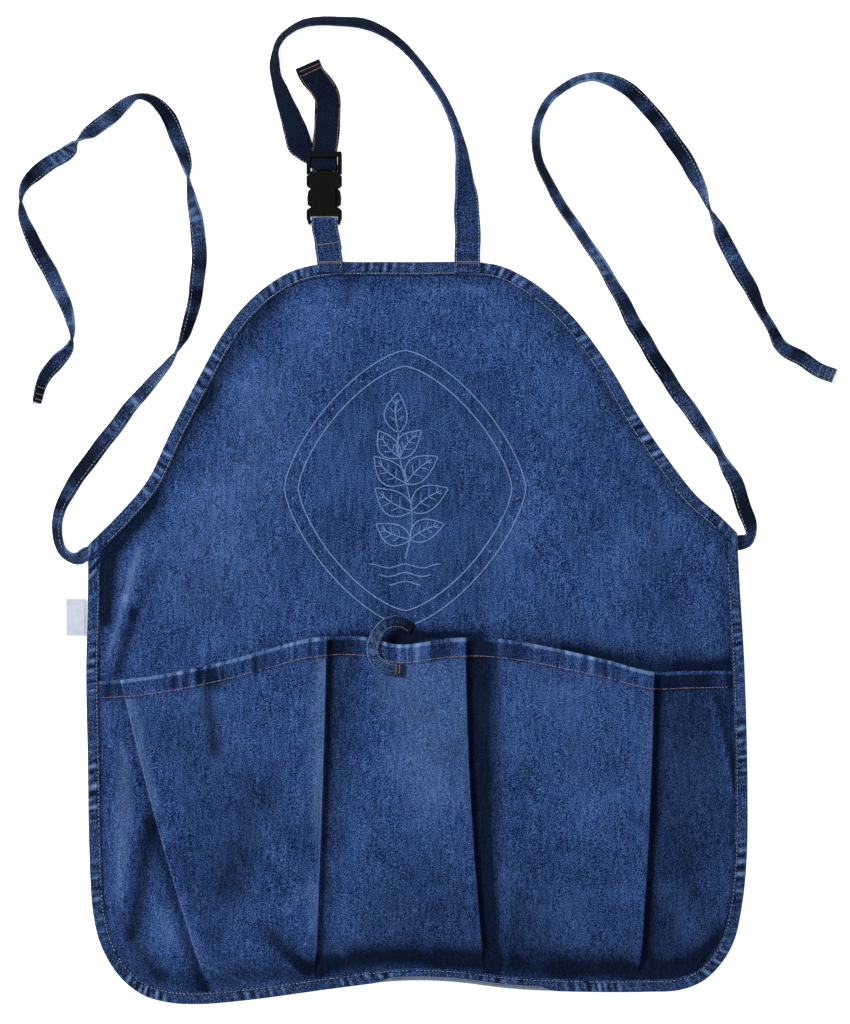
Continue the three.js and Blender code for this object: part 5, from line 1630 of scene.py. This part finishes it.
            # Painted shade in the hollow beside each fold, under its overhang
            width = blend(pleat.hollow_bottom, pleat.hollow_top, row)
            hollow = smoothstep(beyond, -1.0, 1.5) * (1 - smoothstep(beyond, 0.35 * width, 1.25 * width))
            depth = blend(pleat.shade_bottom, pleat.shade_top, smoothstep(row, 0.25, 0.75))
            hollow = hollow + 0.6 * bell(beyond - 5, 5.0) * (1 - high)
            tone_and_shading = tone_and_shading - depth * hollow * (1 - 0.55 * high) * (1 - crest)
        # Painted shade beside the side tapes
        left, right = PLAN.pocket_ends(row)
        beside = np.minimum(x - left, right - x) - s.side_tape
        tone_and_shading = tone_and_shading - 0.35 * bell(beside, 6.0)
        # Painted shade above the bottom tape, under the pocket's bulge
        bottom = distance_to_line(plan, PLAN.side.samples[::12])
        tone_and_shading = tone_and_shading - 0.24 * bell(bottom - s.side_tape - 8, 10.0) * (1 - smoothstep(plan[..., 1], 50, 110))
        # Painted shade in the front's dents
        tone_and_shading = tone_and_shading - 0.10 * streaks(plan, POCKET_DENTS) * front
        # A pale top edge on the hem: rubbed wear and a painted highlight
        return tone_and_shading + (0.62 + 0.3 * puckers) * smoothstep(row, 0.987, 0.992)

    def hem_seam(self, finishes: Finishes, upper: Array, row: Array) -> bpy.types.Object:
        """The rose seam along the hem, on the row where its depth ends."""
        at = int(np.abs(row - (1 - self.hem_share() + 0.004)).argmin())
        line = upper[at]
        tangent = unit(np.gradient(line, axis=0))
        along_y = unit(upper[at + 1] - upper[at])
        up = unit(np.cross(tangent, along_y))
        bound = SIZES.side_tape
        keep = (line[:, 0] > line[0, 0] + bound) & (line[:, 0] < line[-1, 0] - bound)
        stitches = Stitching(3.1, 2.8, 0.30).along(line[keep], up[keep], 21, 0.05)
        return make_piece("pocket_hem_seam", stitches, finishes.rose_thread)


@dataclass
class RibbonShape:
    """A flat tape's centre line and its directions across and off its face, ring by ring."""

    centre: Array
    across: Array
    face: Array
    width: float
    thickness: float

    def along(self) -> Array:
        """Length along the centre line at each ring."""
        return reach_of(self.centre)

    def line(self, share: float, side: int) -> tuple[Array, Array]:
        """A line on one face at a share of the half width, and the face's outward direction."""
        offset = self.across * (share * self.width / 2) + self.face * (side * (self.thickness / 2 - 0.1))
        return self.centre + offset, self.face * side

    def cross_line(self, ring: int, side: int, inset: float = 0.88) -> tuple[Array, Array]:
        """A line straight across one face at a ring."""
        share = np.linspace(-inset, inset, 24)[:, None] * self.width / 2
        line = self.centre[ring] + self.across[ring] * share
        up = np.tile(self.face[ring] * side, (24, 1))
        return line + up * (self.thickness / 2 - 0.05), up

    def surface(self, seed: float, wave: float = 0.22, tone: float | Array = 0.0) -> Surface:
        """The tape's closed surface: eased edges, a sunk seam line near each edge and soft puckers.

        Args:
            seed: shifts the puckers.
            wave: height of the puckers.
            tone: darker or paler tone added everywhere, or ring by ring, painted shade included.

        Returns:
            The tape.
        """
        u = np.array([-1.0, -0.97, -0.9, -0.8, -0.72, -0.6, -0.3, 0, 0.3, 0.6, 0.72, 0.8, 0.9, 0.97, 1.0])
        ease = np.array([0.45, 0.8, 1.0, 0.9, 0.78, 0.95, 1.06, 1.08, 1.06, 0.95, 0.78, 0.9, 1.0, 0.8, 0.45])
        along = self.along()[:, None]
        puckers = tape_ripple(along, (u + 1) / 2, seed)
        inner = 1 - np.abs(u) ** 8
        grids = []
        sway = 0.35 * np.sin(along / 6.3 + seed) * u**2
        offset = self.across[:, None] * (u * self.width / 2 + sway)[..., None]
        for side in (1, -1):
            rise = side * ease * self.thickness / 2 + wave * puckers * inner
            grids.append(self.centre[:, None] + offset + self.face[:, None] * rise[..., None])
        # Pale worn edges, and painted shade along the sunk seam lines
        edge = 0.5 * bell(np.abs(u) - 1, 0.10) - 0.30 * bell(np.abs(u) - 0.73, 0.08)
        tone = np.reshape(tone, (-1, 1))
        tone_and_shading = (0.40 * puckers * inner + edge) * (1 + 0.9 * np.minimum(tone, 0))
        tone_and_shading = tone_and_shading + tone * (1 - 0.4 * bell(np.abs(u) - 1, 0.02))
        cloth = np.stack([wide(u * self.width / 2, puckers), wide(along, puckers)], axis=-1)
        return closed_sheet(*grids, tone_and_shading, cloth)


def ribbon_shape(rows: Array, width: float, thickness: float, step: float = 1.6) -> RibbonShape:
    """A tape carried along rows of place, lift, turn, hold and aim.

    Args:
        rows: X, Y, height of the lowest edge, turn about the length in degrees, how far the width
            keeps to a plan angle, and that angle in degrees.
        width: the tape's width.
        thickness: its thickness.
        step: length of its rings.

    Returns:
        The centre line, with the width's direction carried on wherever the tape runs straight up.
    """
    rough = spline(rows[:, :3], np.linspace(0, 1, 60 * len(rows)))
    reach = reach_of(rough)
    count = int(reach[-1] / step)
    even = np.interp(np.linspace(0, 1, count), reach / reach[-1], np.linspace(0, 1, len(rough)))
    centre = spline(rows[:, :3], even)
    turns = spline(rows[:, 3:6], even, 0.3)
    roll, hold, aim = np.radians(turns[:, 0]), np.clip(turns[:, 1:2], 0, 1), np.radians(turns[:, 2])
    centre[:, 2] += (np.abs(np.sin(roll)) * width + np.abs(np.cos(roll)) * thickness) / 2
    along = unit(np.gradient(centre, axis=0))
    fresh = np.stack([along[:, 1], -along[:, 0], np.zeros(count)], axis=-1)
    level = np.linalg.norm(fresh, axis=1) > 0.3
    last = np.maximum.accumulate(np.where(level, np.arange(count), 0))
    side = unit(fresh[last])
    turned = np.concatenate([[1.0], np.where((side[1:] * side[:-1]).sum(1) < 0, -1.0, 1.0)])
    side = side * np.cumprod(turned)[:, None]
    aimed = np.stack([np.cos(aim), np.sin(aim), 0 * aim], axis=-1)
    aimed = aimed * np.where((aimed * side).sum(1) < 0, -1, 1)[:, None]
    flat = unit(blend(side, aimed, hold))
    up = unit(np.cross(flat, along))
    cos, sin = np.cos(roll)[:, None], np.sin(roll)[:, None]
    return RibbonShape(centre, flat * cos + up * sin, up * cos - flat * sin, width, thickness)


def sewn_lines(
    shape: RibbonShape, shares: tuple, sides: tuple, seed: int, run: slice, stitching: Stitching
) -> Surface:
    """Seams along a tape at shares of its half width, on one or both faces."""
    parts = []
    for share in shares:
        for side in sides:
            line, up = shape.line(share, side)
            parts.append(stitching.along(line[run], up[run], seed + len(parts), 0.06))
    return Surface.joined(parts)


def bar_tack(shape: RibbonShape, rings: list[int], side: int, seed: int) -> Surface:
    """Dense bars of stitches straight across a tape at some rings, on one face."""
    parts = []
    for ring in rings:
        line, up = shape.cross_line(ring, side)
        parts.append(Stitching(1.25, 1.5, 0.42).along(line, up, seed + ring))
    return Surface.joined(parts)


@dataclass
class WaistTie:
    """A long narrow tie that leaves the armhole tape's end and lies loose on the table."""

    name: str
    node: str
    end: int
    route: Array
    seed: float
    seam_side: float

    def rows(self) -> Array:
        """The tie's rows: level in the tape's slanting end first, then the loose route."""
        s, outward, t = SIZES, 2 * self.end - 1, [float(self.end)]
        point, tangent = PLAN.side.point(t)[0], PLAN.side.tangent(t)[0]
        cut = s.top_tape / math.sin(PLAN.waist_angle(self.end))
        start = point + tangent * (-outward * cut / 2) + (outward * s.gap, 0)
        aim = math.degrees(math.atan2(tangent[1], tangent[0]))
        first = [(start[0], start[1], s.cloth, 0, 1, aim)]
        first.append((start[0] + outward * s.tie_thickness / 2, start[1], s.cloth, 0, 1, aim))
        loose = [(start[0] + x, start[1] + y, 0, roll, 0, aim) for x, y, roll in self.route]
        return np.array(first + loose)

    def build(self, finishes: Finishes) -> list[bpy.types.Object]:
        """Makes the tie, its seam, its end's bars and the frayed threads.

        Args:
            finishes: the apron's finishes.

        Returns:
            The tie's pieces.
        """
        shape = ribbon_shape(self.rows(), SIZES.tie_width, SIZES.tie_thickness)
        along = shape.along() + 40 * self.seed
        tone = 0.34 * np.sin(along / 7.3 + 2 * np.sin(along / 19)) + 0.22 * np.sin(along / 31) - 0.42
        tie = make_piece(self.name, shape.surface(self.seed, tone=tone), finishes.ribbon)
        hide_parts(self.node)
        seams = (self.seam_side * 0.66,)
        seam = sewn_lines(shape, seams, (1, -1), int(10 * self.seed), slice(6, -6), Stitching())
        sewn = make_piece(f"{self.name}_seam", seam, finishes.pale_thread)
        last = len(shape.centre) - 1
        bars = [bar_tack(shape, [last - 2, last - 5, last - 9], side, 31) for side in (1, -1)]
        tack = make_piece(f"{self.name}_end_bars", Surface.joined(bars), finishes.tan_thread)
        fray = make_piece(f"{self.name}_frayed_threads", self.fray(shape), finishes.pale_thread)
        path = (shape.centre + SHIFT) * MM
        return [tie, sewn, tack, fray]

    def fray(self, shape: RibbonShape) -> Surface:
        """Loose warp threads at the tie's cut end: thin tubes that curl out and down."""
        chance = np.random.default_rng(int(100 * self.seed))
        along = unit(shape.centre[-1] - shape.centre[-3])
        parts = []
        for share in np.linspace(-0.9, 0.9, 13):
            root = shape.centre[-1] + shape.across[-1] * share * shape.width / 2 - along * 0.4
            lean = shape.across[-1] * chance.uniform(-0.5, 0.5) + shape.face[-1] * chance.uniform(-0.25, 0.25)
            reach = np.linspace(0, chance.uniform(1.5, 4.2), 6)[:, None]
            line = root + along * reach + lean * reach**1.4 * 0.5
            line[:, 2] = np.maximum(line[:, 2], 0.3)
            parts.append(thin_tube(line, 0.22))
        return Surface.joined(parts)


def thin_tube(line: Array, radius: float, sides: int = 6) -> Surface:
    """A closed tube along a line: rings square to it, the end rings drawn to a small size."""
    tangent = unit(np.gradient(line, axis=0))
    side = unit(np.cross(tangent, [0.03, 0.02, 1.0]))
    up = np.cross(side, tangent)
    angles = np.linspace(0, math.tau, sides + 1)[:-1]
    size = np.full(len(line), radius)
    size[[0, -1]] = 0.25 * radius
    ring = side[:, None] * np.cos(angles)[None, :, None] + up[:, None] * np.sin(angles)[None, :, None]
    return thread_tubes(line[:, None] + ring * size[:, None, None], len(line))


@dataclass
class NeckFittings:
    """The neck strap, the short strap at the buckle, and the two moulded halves of the buckle."""

    buckle_share: float = -0.28
    foot_share: float = 0.155
    crossbar: float = 2.5
    plate_gap: float = 5.6
    lean: float = 5.0
    bevel: float = 0.0006

    def __post_init__(self) -> None:
        """Works out the places of the bars and of the straps' feet, in plan mm."""
        s = SIZES
        self.x = self.buckle_share * s.half_width
        self.foot = self.foot_share * s.half_width
        self.bib = s.panel_height
        self.wrap = s.bar_radius + s.gap + s.strap_thickness / 2
        self.bar_height = s.strap_thickness / 2 + self.wrap + s.gap
        self.socket_top = self.bib + s.buckle_rise + s.socket_length - s.bar_radius - s.gap
        self.socket_bar = self.socket_top - s.socket_length + 2 * s.bar_radius - s.gap
        self.adjuster_bar = self.socket_top + 2 * s.gap + self.crossbar + self.wrap + s.strap_thickness / 2
        self.adjuster_top = self.socket_top + s.adjuster_length
        self.over_tape = 2 * s.cloth + s.panel_slot + s.gap

    def turn_round(self, y: float, facing: int, start: float, end: float) -> list[tuple]:
        """Rows of a strap round a bar: a circle's points from one angle to another."""
        rows = []
        for share in (0, 0.25, 0.5, 0.75, 1):
            angle = math.radians(blend(start, end, share))
            lift = self.bar_height + math.sin(angle) * self.wrap - SIZES.strap_thickness / 2
            rows.append((self.x, y + facing * math.cos(angle) * self.wrap, lift, 0, 1, 0))
        return rows

    def foot_rows(self, x: float) -> list[tuple]:
        """Rows of a strap's foot, sewn down on the bib's tape."""
        lap = SIZES.strap_lap
        return [(x, self.bib + y, self.over_tape, 0, 0, 0) for y in (-lap, -lap / 2, SIZES.gap)]

    def neck_rows(self) -> Array:
        """The neck strap's rows: foot, round the neck, through the adjuster, and its loose tail."""
        s = SIZES
        rows = self.foot_rows(self.foot)
        for i, (across, up, roll) in enumerate(NECK_ROUTE):
            lift = self.over_tape / 2 if i == 0 else 0
            y = self.bib + blend(s.strap_lap, s.neck_reach, up)
            rows.append((blend(self.x, self.foot, across), y, lift, roll, 0, 0))
        turning_in = blend(self.adjuster_top, self.adjuster_bar, 0.45)
        rows.append((self.x - 0.9 * s.strap_width, self.adjuster_top + 3, 0, 0, 0.8, 0))
        rows.append((self.x - 0.5 * s.strap_width, turning_in, 0, 0, 1, 0))
        rows += self.turn_round(self.adjuster_bar, -1, -90, 90)
        plate = s.strap_thickness + s.gap
        start = self.adjuster_bar + self.wrap + self.plate_gap
        rows += [(self.x, y, plate, 0, 1, 0) for y in (start - s.gap, self.adjuster_top)]
        rows += [(self.x + x, self.adjuster_top + y, lift, 0, 0, 0) for x, y, lift in TAIL_ROUTE]
        return np.array(rows, float)

    def short_rows(self) -> Array:
        """The buckle strap's rows: from the bib, round the socket's bar and back under itself."""
        s, lean = SIZES, self.lean
        seam, lap = self.bib + s.strap_lap, s.strap_thickness + s.gap
        rows = self.foot_rows(self.x + lean)
        rows.append((self.x + 0.8 * lean, seam, lap, 0, 0, 0))
        rows.append((self.x + 0.4 * lean, blend(seam, self.socket_bar, 0.5), lap + 0.5, 0, 0, 0))
        rows.append((self.x, self.socket_bar - 2 * self.wrap, lap + 2, 0, 0, 0))
        rows += self.turn_round(self.socket_bar, 1, 90, -90)
        rows.append((self.x + 0.2 * lean, self.socket_bar - 2 * self.wrap, 0, 0, 0, 0))
        rows.append((self.x + 0.8 * lean, seam, 0, 0, 0, 0))
        return np.array(rows, float)

    def build(self, finishes: Finishes) -> list[bpy.types.Object]:
        """Makes both straps with their sewing and both halves of the buckle.

        Args:
            finishes: the apron's finishes.

        Returns:
            The fittings' pieces.
        """
        s = SIZES
        long = ribbon_shape(self.neck_rows(), s.strap_width, s.strap_thickness, 1.4)
        short = ribbon_shape(self.short_rows(), s.strap_width, s.strap_thickness, 1.2)
        pieces = []
        for node, surface in (("neck_strap", self.neck_surface(long)),
                              ("buckle_strap", short.surface(1.1, 0.16, -0.22))):
            pieces.append(make_piece(f"{node}_cloth", surface, finishes.strap))
            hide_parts(node)
        stitching = Stitching(3.0, 2.2, 0.36)
        foot, tail = (int(share * len(long.centre)) for share in (0.25, 0.83))
        body = Surface.joined([
            sewn_lines(long, (-0.86, 0.86), (1, -1), 41, slice(4, foot), stitching),
            sewn_lines(long, (0.86,), (1, -1), 45, slice(foot, tail), stitching),
        ])
        end = sewn_lines(long, (-0.88, 0.88), (1, -1), 51, slice(tail + 8, -4), Stitching(2.2, 1.9, 0.42))
        both = sewn_lines(short, (-0.86, 0.86), (1, -1), 61, slice(3, -3), stitching)
        edges = Surface.joined([body, both])
        pieces.append(make_piece("strap_edge_seams", edges, finishes.pale_thread))
        pieces.append(make_piece("strap_tail_seams", end, finishes.tan_thread))
        pieces.append(make_piece("strap_bar_tacks", self.tacks(long, short), finishes.tan_thread))
        return pieces + [self.moulded(node, finishes.plastic) for node in ("buckle_plug", "buckle_socket")]

    def neck_surface(self, shape: RibbonShape) -> Surface:
        """The neck strap: paler blue at its foot, darker round the neck and on its tail."""
        share = shape.along() / shape.along()[-1]
        return shape.surface(2.3, 0.3, -0.22 - 0.76 * smoothstep(share, 0.27, 0.42))

    def tacks(self, long: RibbonShape, short: RibbonShape) -> Surface:
        """Bars across both feet, two across the short strap, and one at the tail's end."""
        parts = []
        for shape in (long, short):
            for offset in (-1.5, 0.0) if shape is long else (-1.5, 0.0, 16.5):
                ring = int(np.abs(shape.centre[: len(shape.centre) // 2, 1] - self.bib - offset).argmin())
                parts.append(bar_tack(shape, [ring], 1, 71))
        last = len(long.centre) - 1
        parts += [bar_tack(long, [last - 3, last - 6], side, 81) for side in (1, -1)]
        return Surface.joined(parts)

    def moulded(self, node: str, finish: bpy.types.Material) -> bpy.types.Object:
        """A half of the buckle: the solid's own faces merged, with every hard edge eased.

        Args:
            node: the solid that it stands for.
            finish: its material.

        Returns:
            The moulding.
        """
        work = bmesh.new()
        work.from_mesh(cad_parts[node].data)
        bmesh.ops.remove_doubles(work, verts=work.verts, dist=2e-5)
        bmesh.ops.dissolve_limit(work, angle_limit=math.radians(2), verts=work.verts, edges=work.edges)
        mesh = bpy.data.meshes.new(f"{node}_moulding")
        work.to_mesh(mesh)
        work.free()
        mesh.polygons.foreach_set("use_smooth", np.ones(len(mesh.polygons), bool))
        mesh.set_sharp_from_angle(angle=math.radians(38))
        mesh.materials.append(finish)
        piece = link(f"{node}_moulding", mesh)
        eased = piece.modifiers.new("eased edges", "BEVEL")
        eased.width = self.bevel
        eased.segments = 3
        eased.limit_method = "ANGLE"
        eased.angle_limit = math.radians(35)
        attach(piece, "root")
        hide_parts(node)
        log.info("%s: %d faces", piece.name, len(mesh.polygons))
        return piece


@dataclass
class ToolLoop:
    """A narrow loop of denim sewn at the pocket's mouth."""

    place: float = -0.096

    def build(self, finishes: Finishes) -> list[bpy.types.Object]:
        """Makes the loop, its seams and the bar at its lower end.

        Args:
            finishes: the apron's finishes.

        Returns:
            The loop's pieces.
        """
        s = SIZES
        x = self.place * s.half_width
        hem = float(PLAN.hem_height(np.array(x)))
        rows = []
        for dx, dy, lift, roll, on_pocket in LOOP_ROUTE:
            p = np.array([x + dx, hem + dy])
            base = float(PLAN.panel_top(p[None])[0]) + s.gap
            if on_pocket:
                across = np.array([p[0] + s.loop_width / 2])
                base += float(PleatedPocket.front_height(1, across, np.ones(1))[0])
                base += s.hem_thickness + 3 * s.gap
            rows.append((p[0], p[1], base + lift, roll, 0, 0))
        shape = ribbon_shape(np.array(rows), s.loop_width, s.loop_thickness, 1.0)
        share = shape.along() / shape.along()[-1]
        # Painted shade at both ends of the loop, where it runs behind the hem and at its lower end
        tone = 0.1 - 0.9 * bell(share, 0.24) - 0.7 * bell(share - 1, 0.13)
        loop = make_piece("tool_loop_cloth", shape.surface(4.2, 0.35, tone), finishes.ribbon)
        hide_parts("tool_loop")
        seam = sewn_lines(shape, (-0.7,), (1,), 91, slice(2, -2), Stitching(2.4, 1.8, 0.3))
        sewn = make_piece("tool_loop_seams", seam, finishes.pale_thread)
        last = len(shape.centre) - 1
        bars = bar_tack(shape, [last - 4, last - 7], 1, 95)
        return [loop, sewn, make_piece("tool_loop_bar_tack", bars, finishes.tan_thread)]


@dataclass
class CareLabel:
    """A bare strip of white ribbon, folded once and caught under the side tape."""

    reach: float = 19.0
    height: float = 33.0
    ribbon: float = 0.5
    place: float = 0.037

    def build(self, finishes: Finishes) -> list[bpy.types.Object]:
        """Makes the label and the stitches at its inner end.

        Args:
            finishes: the apron's finishes.

        Returns:
            The label and its stitches.
        """
        s, side = SIZES, PLAN.side
        t = side.at_length(np.array([self.place * side.reach[-1] + self.height / 2]))
        middle = side.point(t)[0]
        inner = middle[0] - s.gap - s.cloth / 2
        outer = inner - self.reach
        bend = outer + self.ribbon + s.gap / 2
        low, radius = s.cloth + self.ribbon / 2, (self.ribbon + s.gap) / 2
        high = low + 2 * radius
        flat = np.linspace(0, 1, 14)[:-1]
        turn = np.radians(np.linspace(-90, 90, 9))
        bottom = np.stack([blend(inner, bend, flat), low + 0 * flat], axis=-1)
        fold = np.stack([bend - radius * np.cos(turn), low + radius + radius * np.sin(turn)], axis=-1)
        top = np.stack([blend(bend, inner, flat[1:]), high + 0 * flat[1:]], axis=-1)
        line = np.vstack([bottom, fold, top, [[inner, high]]])
        normal = left_of(unit(np.gradient(line, axis=0)))
        y, on_top = np.linspace(-0.5, 0.5, 34)[:, None] * self.height, line[:, 1] > low + radius
        grids = []
        for face in (1, -1):
            edge = line + normal * face * self.ribbon / 2
            z = edge[:, 1] + 0.16 * np.sin(y / 4.3 + edge[:, 0] / 6.0) * on_top
            slipped = middle[1] + y + np.where(on_top, -0.4, 0.9)
            grids.append(np.stack([wide(edge[:, 0], z), slipped, z], axis=-1))
        tone_and_shading = wide(-0.5 * bell(line[:, 0] - inner, 2.0) - 0.25 * bell(line[:, 0] - outer, 1.0), z)
        label = make_piece("bare_care_label", closed_sheet(*grids, tone_and_shading), finishes.label)
        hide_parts("care_label")
        seam_y = middle[1] + np.linspace(-15, 15, 20)
        seam = np.column_stack([np.full(20, inner - 1.6), seam_y, np.full(20, high + 0.3)])
        stitches = make_piece("care_label_stitches", Stitching(3.0, 2.0, 0.3).along(seam, up_lines(seam), 99),
                              finishes.rose_thread)
        return [label, stitches]


@dataclass
class Studio:
    """Camera straight above, a pale floor and soft light from overhead."""

    pixel: float = 0.927
    picture: tuple[int, int] = (850, 1024)
    origin: tuple[float, float] = (416.5, 1004.0)
    distance: float = 2.6
    cloth_height: float = 0.004
    sensor: float = 36.0
    floor_reach: float = 16.0
    floor_drop: float = 0.0006
    sky: float = 0.32

    def build(self, finishes: Finishes) -> None:
        """Makes the camera first, then the floor and the lights.

        Args:
            finishes: the apron's finishes.
        """
        self.camera()
        self.floor(finishes)
        self.lights()

    def camera(self) -> None:
        """A camera above the picture's middle whose view is the picture's size at the cloth."""
        width, height = self.picture
        middle = np.array([width / 2 - self.origin[0], self.origin[1] - height / 2, 0.0]) * self.pixel
        x, y, _ = (middle + SHIFT) * MM
        data = bpy.data.cameras.new("overhead camera")
        data.sensor_width = self.sensor
        data.lens = self.sensor * self.distance / (height * self.pixel * MM)
        data.clip_start, data.clip_end = 0.05, 20
        camera = link("overhead camera", data)
        camera.location = (x, y, self.distance + self.cloth_height)
        bpy.context.scene.camera = camera

    def floor(self, finishes: Finishes) -> None:
        """A wide flat grid just under the apron."""
        side = np.linspace(-self.floor_reach, self.floor_reach, 9)
        x, y = np.meshgrid(side, side)
        vertices = np.stack([x, y, np.full_like(x, -self.floor_drop)], axis=-1).reshape(-1, 3)
        mesh = bpy.data.meshes.new("floor")
        mesh.from_pydata(vertices.tolist(), [], grid_quads(9, 9).tolist())
        mesh.materials.append(finishes.floor)
        link("floor", mesh)

    def lights(self) -> None:
        """Two soft lamps aimed at the middle, a strong one from the upper left, and a pale sky."""
        for name, place, size, power in (
            ("key softbox", (-1.5, 1.2, 2.2), 0.8, 104.0),
            ("fill softbox", (1.9, -1.5, 2.0), 1.6, 24.0),
        ):
            data = bpy.data.lights.new(name, "AREA")
            data.size = size
            data.energy = power
            lamp = link(name, data)
            lamp.location = place
            x, y, z = place
            lamp.rotation_euler = (math.acos(z / math.hypot(x, y, z)), 0.0, math.atan2(-y, -x) - math.pi / 2)
        world = bpy.data.worlds.new("pale sky")
        world.use_nodes = True
        background = world.node_tree.nodes["Background"]
        background.inputs[0].default_value = (1.0, 1.0, 1.0, 1.0)
        background.inputs[1].default_value = self.sky
        bpy.context.scene.world = world
        bpy.context.scene.view_settings.view_transform = "Standard"


def main() -> None:
    """Builds the studio and every part of the apron in order."""
    logging.basicConfig(level=logging.INFO, format="%(name)s: %(message)s")
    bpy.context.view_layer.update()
    finishes = Finishes.make()
    Studio().build(finishes)
    ties = ((0, "left", LEFT_TIE, 1.3, 1.0), (1, "right", RIGHT_TIE, 3.1, -1.0))
    for end, name, route, seed, seam_side in ties:
        WaistTie(f"{name}_tie_cloth", f"{name}_tie", end, route, seed, seam_side).build(finishes)
    motif = SprigMotif()
    panel = ApronPanel().build(finishes, motif)
    design = motif.build(finishes)
    trims = Bindings().build(finishes)
    pocket, hem_seam = PleatedPocket().build(finishes)
    trims += NeckFittings().build(finishes)
    loop = ToolLoop().build(finishes)
    CareLabel().build(finishes)


if __name__ == "__main__":
    main()
